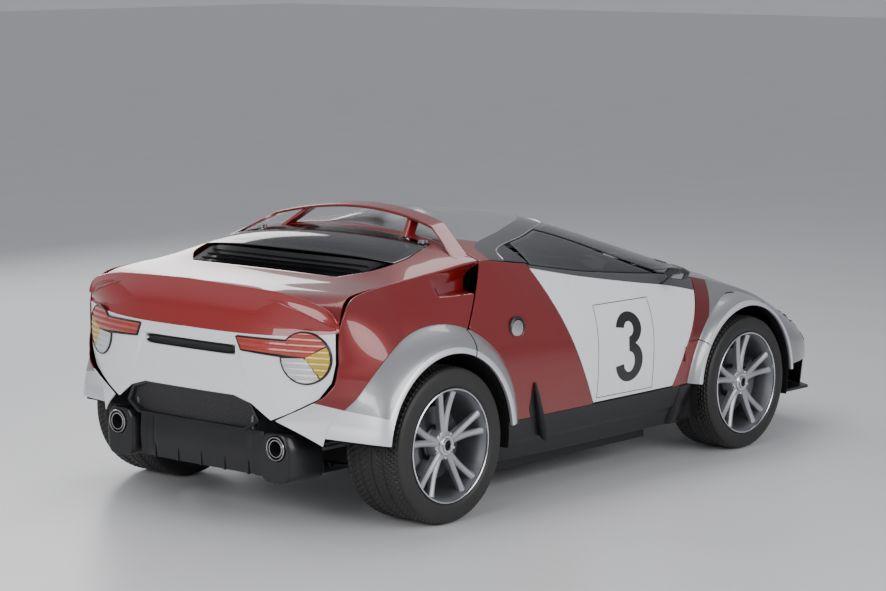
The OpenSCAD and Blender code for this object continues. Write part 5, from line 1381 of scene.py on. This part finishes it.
high = np.stack([x, y_nose + 20 + 150 * (np.abs(x) / 740) ** 3 + 4 * v,
                 mix(350, 436 - 60 * (np.abs(x) / 655) ** 6, v)], -1)
panel("nose_grille", high, "chassis", mesh_black, 3, 1, out=(0, -1, 0))
smoked = lens("smoked_headlamp_cover", "#2A2B2E", "#151618")
lamp_glow = lens("projector_lamp", "#E8EAEE", "#A9ADB4")
s, y = np.meshgrid(np.linspace(0.838, 0.972, 40), np.linspace(y_nose + 218, y_nose + 447, 50), indexing="ij")
cover = crown(y, s)
n = normals(cover)
n = np.where(n[..., 2:] < 0, -n, n)
swell = 4.0 + 5.0 * (np.sin(np.pi * (s - 0.838) / 0.134) * np.sin(np.pi * (y - y_nose - 218) / 229)) ** 0.5
panel("headlamp_covers", cover + n * swell[..., None], "chassis", smoked, 2, 0.8, replaces=("headlamps",),
      mirror=True)
sheets = []
for side in (-1, 1):
    for at_y in (y_nose + 275, y_nose + 375):
        c = crown(at_y, 0.905)
        a = (crown(at_y + 5, 0.905) - crown(at_y - 5, 0.905)) / 10
        b = crown(at_y, 0.91) - crown(at_y, 0.90)
        a, b = a / np.linalg.norm(a), b / np.linalg.norm(b)
        up = np.cross(b, a)
        up = up if up[2] > 0 else -up
        turn = np.linspace(0, 2 * np.pi, 40, endpoint=False)[None, :, None]
        rows = np.array([(0.1, 12.4), (14, 12), (22, 10.5), (26, 9.6), (30, 11), (33, 10), (34, 4.0)])
        rr, hh = rows[:, :1, None], rows[:, 1:, None]
        sheets.append(((c + rr * (np.cos(turn) * a + np.sin(turn) * b) + hh * up) * (side, 1, 1), False, True))
grid_mesh("headlamp_projectors", sheets, "chassis", lamp_glow)
for name, material, z0, z1 in (("marker_red", lens_red, 520, 566), ("marker_amber", lens_yellow, 498, 516),
                               ("marker_black", black_plastic, 452, 494)):
    z, k = np.meshgrid(np.linspace(z0, z1, 16), np.linspace(0, 1, 8), indexing="ij")
    y = mix(-1960, -1925, k) + (z - 452) * 0.55
    strip = flank(y, np.minimum(z, side_top_z(y) - 6)) + (3.0, 0, 0)
    panel(name, strip, "chassis", material, 2.5, 0.8, mirror=True, out=(1, 0, 0))

# --- Door mirrors ---
# Six-sided housings on black arms that are bolted to the doors, with a pale grey glass at the
# back inside a dark rim.
mirror_glass, tree, shader, where = blank("silvered_mirror_glass")
haze = put(tree, "ShaderNodeTexNoise", {"Vector": where, "Scale": 40.0, "Detail": 3.0})
tone = put(tree, "ShaderNodeMix", {"Factor": haze.outputs[0], "A": linear("#8B8D90"), "B": linear("#9C9EA1")},
           data_type="RGBA")
tree.links.new(tone.outputs["Result"], shader.inputs["Base Color"])
polish = put(tree, "ShaderNodeMapRange", {"Value": haze.outputs[0], "To Min": 0.1, "To Max": 0.2})
tree.links.new(polish.outputs[0], shader.inputs["Roughness"])
shader.inputs["Metallic"].default_value = 0.9
hexagon = np.array([(-64, 2), (-44, 27), (28, 27), (64, 6), (46, -27), (-40, -27)], float)


def mirror_ring(y, scale, shift=(0, 0)):
    """The housing's outline at a distance along the car: a rounded six-sided loop."""
    return rounded([(935 + shift[0] + p * scale, y, 950 + shift[1] + q * scale) for p, q in hexagon], 0.16, 6)


for side, word in ((-1, "right"), (1, "left")):
    loops = [mirror_ring(*a) for a in ((-634, 0.3, (-8, -2)), (-631, 0.52, (-8, -2)), (-618, 0.74, (-5, -1)),
                                       (-598, 0.9, (-2, 0)), (-576, 0.99),
                                       (-552, 1.0), (-547, 0.985), (-545, 0.95), (-546, 0.9), (-552, 0.89),
                                           (-556, 0.885))]
    cap = loops[0].mean(0)[None].repeat(len(loops[0]), 0)
    sheets = [(np.array([cap] + loops) * (side, 1, 1), False, True)]
    t = np.linspace(0, 1, 16)
    arm = np.stack([mix(846, 880, t) + 6 * np.sin(np.pi * t), mix(-577, -579, t), mix(897, 934, t)], -1)
    sheets.append((tube(arm, mix(15, 8.5, t), 14, 0.5, (0, 0, 1)) * (side, 1, 1), False, True))
    grid_mesh(f"mirror_shell_{word}", sheets, word + "_door", black_plastic, 35, (f"mirror_{word}",))
    t = np.linspace(0.02, 1, 8)[:, None, None]
    face = mirror_ring(-550.5, 0.9)
    centre = np.array([935.0, -549.0, 950.0])
    grid_mesh(f"mirror_glass_{word}", [(mix(centre, face[None], t) * (side, 1, 1), False, True)],
              word + "_door", mirror_glass)

# --- Cabin ---
# Two fixed-back bucket seats in woven cloth with raised bolsters, a moulded dashboard, and a
# thin-rimmed steering wheel on the column.
cloth, tree, shader, where = blank("woven_seat_cloth")
turn_a = put(tree, "ShaderNodeTexWave", {"Vector": where, "Scale": 260.0, "Distortion": 0.6},
             bands_direction="X")
turn_b = put(tree, "ShaderNodeTexWave", {"Vector": where, "Scale": 260.0, "Distortion": 0.6},
             bands_direction="Y")
weave = put(tree, "ShaderNodeMath", {0: turn_a.outputs["Fac"], 1: turn_b.outputs["Fac"]}, operation="MULTIPLY")
worn = put(tree, "ShaderNodeTexNoise", {"Vector": where, "Scale": 8.0, "Detail": 5.0})
blend = put(tree, "ShaderNodeMath", {0: weave.outputs[0], 1: worn.outputs[0]}, operation="MULTIPLY")
tone = put(tree, "ShaderNodeMix", {"Factor": blend.outputs[0], "A": linear("#121215"), "B": linear("#34343A")},
           data_type="RGBA")
tree.links.new(tone.outputs["Result"], shader.inputs["Base Color"])
bump = put(tree, "ShaderNodeBump", {"Height": weave.outputs[0], "Strength": 0.35, "Distance": 0.0008})
tree.links.new(bump.outputs[0], shader.inputs["Normal"])
shader.inputs["Roughness"].default_value = 0.86
shader.inputs["Sheen Weight"].default_value = 0.25


def power(c, e):
    """A sine or cosine raised to a power with its sign kept, which squares off a round outline."""
    return np.sign(c) * np.abs(c) ** e


def pad(width, length, thick, bolster):
    """A closed pad: a superellipse outline, thicker bolsters at both sides, pulled in at two seams."""
    a, b = np.meshgrid(np.linspace(0, 2 * np.pi, 96, endpoint=False), np.linspace(-np.pi / 2, np.pi / 2, 40),
                       indexing="ij")
    p = width / 2 * power(np.cos(a), 0.35) * power(np.cos(b), 0.45)
    q = length / 2 * power(np.sin(a), 0.35) * power(np.cos(b), 0.45)
    h = thick / 2 * power(np.sin(b), 0.7)
    rise = bolster * np.clip((np.abs(p) / (width / 2) - 0.55) / 0.3, 0, 1) * np.clip(h / (thick / 2), 0, 1)
    seam = -5 * np.exp(-(((np.abs(p) - width * 0.28) / 7) ** 2)) * np.clip(h / (thick / 2), 0, 1)
    channel = -3.5 * sum(np.exp(-(((q - length * g) / 7) ** 2)) for g in (-0.25, 0,
            0.25)) * (np.abs(p) < width * 0.27) * np.clip(h / (thick / 2), 0, 1)
    return np.stack([p, q, h + rise + seam + channel], -1)


def stuffed(piece, cap):
    """Swells a pad by a short cloth simulation with inner pressure, keeps each point within a cap."""
    scene = bpy.context.scene
    start = np.array([v.co[:] for v in piece.data.vertices])
    cloth_mod = piece.modifiers.new("puff", "CLOTH")
    cloth_mod.settings.use_pressure = True
    cloth_mod.settings.uniform_pressure_force = 2.0
    cloth_mod.settings.effector_weights.gravity = 0.0
    cloth_mod.point_cache.frame_start, cloth_mod.point_cache.frame_end = 1, 12
    for f in range(1, 13):
        scene.frame_set(f)
    ready = piece.evaluated_get(bpy.context.evaluated_depsgraph_get())
    moved = np.array([v.co[:] for v in ready.data.vertices])
    piece.modifiers.remove(cloth_mod)
    shift = np.nan_to_num(moved - start)
    far = np.maximum(np.linalg.norm(shift, axis=1, keepdims=True), 1e-9)
    new = start + shift * np.minimum(1, cap / 1000 / far)
    piece.data.vertices.foreach_set("co", new.ravel().astype(np.float32))
    piece.data.update()
    scene.frame_set(1)


for side, word in ((-1, "right"), (1, "left")):
    base = pad(398, 455, 104, 26) + (side * 330, 40, 236)
    lean = math.radians(22)
    back = pad(396, 575, 88, 30)
    back[..., 0] *= 1 - 0.16 * np.clip(back[..., 1] / 287 - 0.2, 0, 1)
    up, out_dir = np.array([0, math.sin(lean), math.cos(lean)]), np.array([0, -math.cos(lean), math.sin(lean)])
    back = back[..., :1] * np.array([1.0, 0, 0]) + back[..., 1:2] * up + back[..., 2:] * out_dir
    back = back + np.array([side * 330.0, 394, 588])
    one = grid_mesh(f"seat_cushion_{word}", [(base, True, False)], "chassis", cloth, 60, (f"seat_{word}",))
    two = grid_mesh(f"seat_back_{word}", [(back, True, False)], "chassis", cloth, 60)
    for piece in (one, two):
        stuffed(piece, 5)
        smooth_mod = piece.modifiers.new("rounded", "SUBSURF")
        smooth_mod.levels = smooth_mod.render_levels = 1
    rings = [rounded([(side * 330 + p * 205, yy, z), (side * 330 - p * 205, yy, z),
                      (side * 330 - p * 205, yy + d, z), (side * 330 + p * 205, yy + d, z)], 0.12, 4)
             for z, p, yy, d in ((150.4, 0.86, -180, 395), (154, 0.9, -184, 403), (176, 0.92, -186, 407),
                                 (180, 0.9, -182, 400))]
    ends = [rings[k].mean(0)[None].repeat(len(rings[0]), 0) for k in (0, -1)]
    grid_mesh(f"seat_base_{word}", [(np.array([ends[0]] + rings + [ends[1]]), False, True)], "chassis",
              trim_black, 35)
u, a = np.meshgrid(np.linspace(-1, 1, 90), np.linspace(0, 2 * np.pi, 48, endpoint=False), indexing="ij")
dash = np.stack([u * 558, -645 + 113 * power(np.cos(a), 0.5), 700 + 56 * power(np.sin(a), 0.6)], -1)
dash[..., 1] += 6 * np.exp(-(((u * 558) / 90) ** 4)) * np.clip(np.cos(a), 0, 1) - 2
ends = [dash[k].mean(0)[None, None].repeat(48, 1) for k in (0, -1)]
grid_mesh("dashboard_moulding", [(np.concatenate([ends[0], dash, ends[1]]), False, True)], "chassis",
          trim_black, 40, ("dashboard",))
tilt = math.radians(68)
axis = np.array([0, math.sin(tilt), math.cos(tilt)])
up = np.array([0, -math.cos(tilt), math.sin(tilt)])
middle = np.array([330.0, -540.0, 700.0]) + axis * 160
around = np.linspace(0, 2 * np.pi, 72, endpoint=False)
ring_line = middle + 165 * (np.cos(around)[:, None] * np.array([1.0, 0, 0]) + np.sin(around)[:, None] * up)
a = np.linspace(0, 2 * np.pi, 16, endpoint=False)
radial = (ring_line - middle) / 165
grip = 12.5 + 1.2 * np.cos(around * 2)[:, None, None] ** 8
rim_tube = ring_line[:, None] + grip * (np.cos(a)[None, :, None] * radial[:, None] + np.sin(a)[None, :,
        None] * axis)
sheets = [(rim_tube, True, True)]
for turn in (0, 180, 270):
    d = math.cos(math.radians(turn)) * np.array([1.0, 0, 0]) + math.sin(math.radians(turn)) * up
    e = np.cross(axis, d)
    rings = [rounded([middle + d * r + e * w - axis * 4, middle + d * r - e * w - axis * 4,
                      middle + d * r - e * w + axis * 3, middle + d * r + e * w + axis * 3], 0.2, 4)
             for r, w in ((36, 20), (60, 15), (110, 12), (158, 15))]
    sheets.append((np.array(rings), False, True))
boss = lathe([(12.6, -9), (44, -9), (46, 0), (44, 12), (34, 19), (0.1, 22)], (0, 0, 0), 0, 40)
boss = middle + boss[..., :1] * axis + boss[..., 1:2] * np.array([1.0, 0, 0]) + boss[..., 2:] * up
sheets.append((boss, False, True))
grid_mesh("steering_wheel_rim", sheets, "helm", trim_black, 40, ("steering_wheel",))

# --- Structure and running gear ---
# Pieces that keep their construction shape: the tub, engine and gearbox blocks, arms, uprights,
# shafts, hinges and the front splitter, each with the finish of its real material.
composite, tree, shader, where = blank("woven_composite_tub")
weave_a = put(tree, "ShaderNodeTexWave", {"Vector": where, "Scale": 70.0}, bands_direction="X")
weave_b = put(tree, "ShaderNodeTexWave", {"Vector": where, "Scale": 70.0}, bands_direction="Y")
twill = put(tree, "ShaderNodeMath", {0: weave_a.outputs["Fac"], 1: weave_b.outputs["Fac"]},
            operation="MULTIPLY")
tone = put(tree, "ShaderNodeMix", {"Factor": twill.outputs[0], "A": linear("#0B0B0C"), "B": linear("#26272A")},
           data_type="RGBA")
tree.links.new(tone.outputs["Result"], shader.inputs["Base Color"])
shader.inputs["Roughness"].default_value = 0.45
sand_cast = cast("sand_cast_alloy", "#7C7D80", "#57585B", 0.48)
zinc = cast("zinc_plated_steel", "#8D8F94", "#6C6E73", 0.34)
arm_black = cast("black_coated_steel", "#232326", "#141416", 0.42, 0.3)
for nodes, material in ((("floor_tub",), composite),
                        (("engine_block", "gearbox", "rear_uprights", "knuckle_right", "knuckle_left"),
                         sand_cast),
                        (("driveshafts", "steering_column", "bonnet_hinges", "rear_hinges"), zinc),
                            (("door_hinges",), red),
                        (("front_wishbones", "rear_wishbones"), arm_black), (("splitter",), black_plastic)):
    for node in nodes:
        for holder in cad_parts[node].material_slots:
            holder.material = material
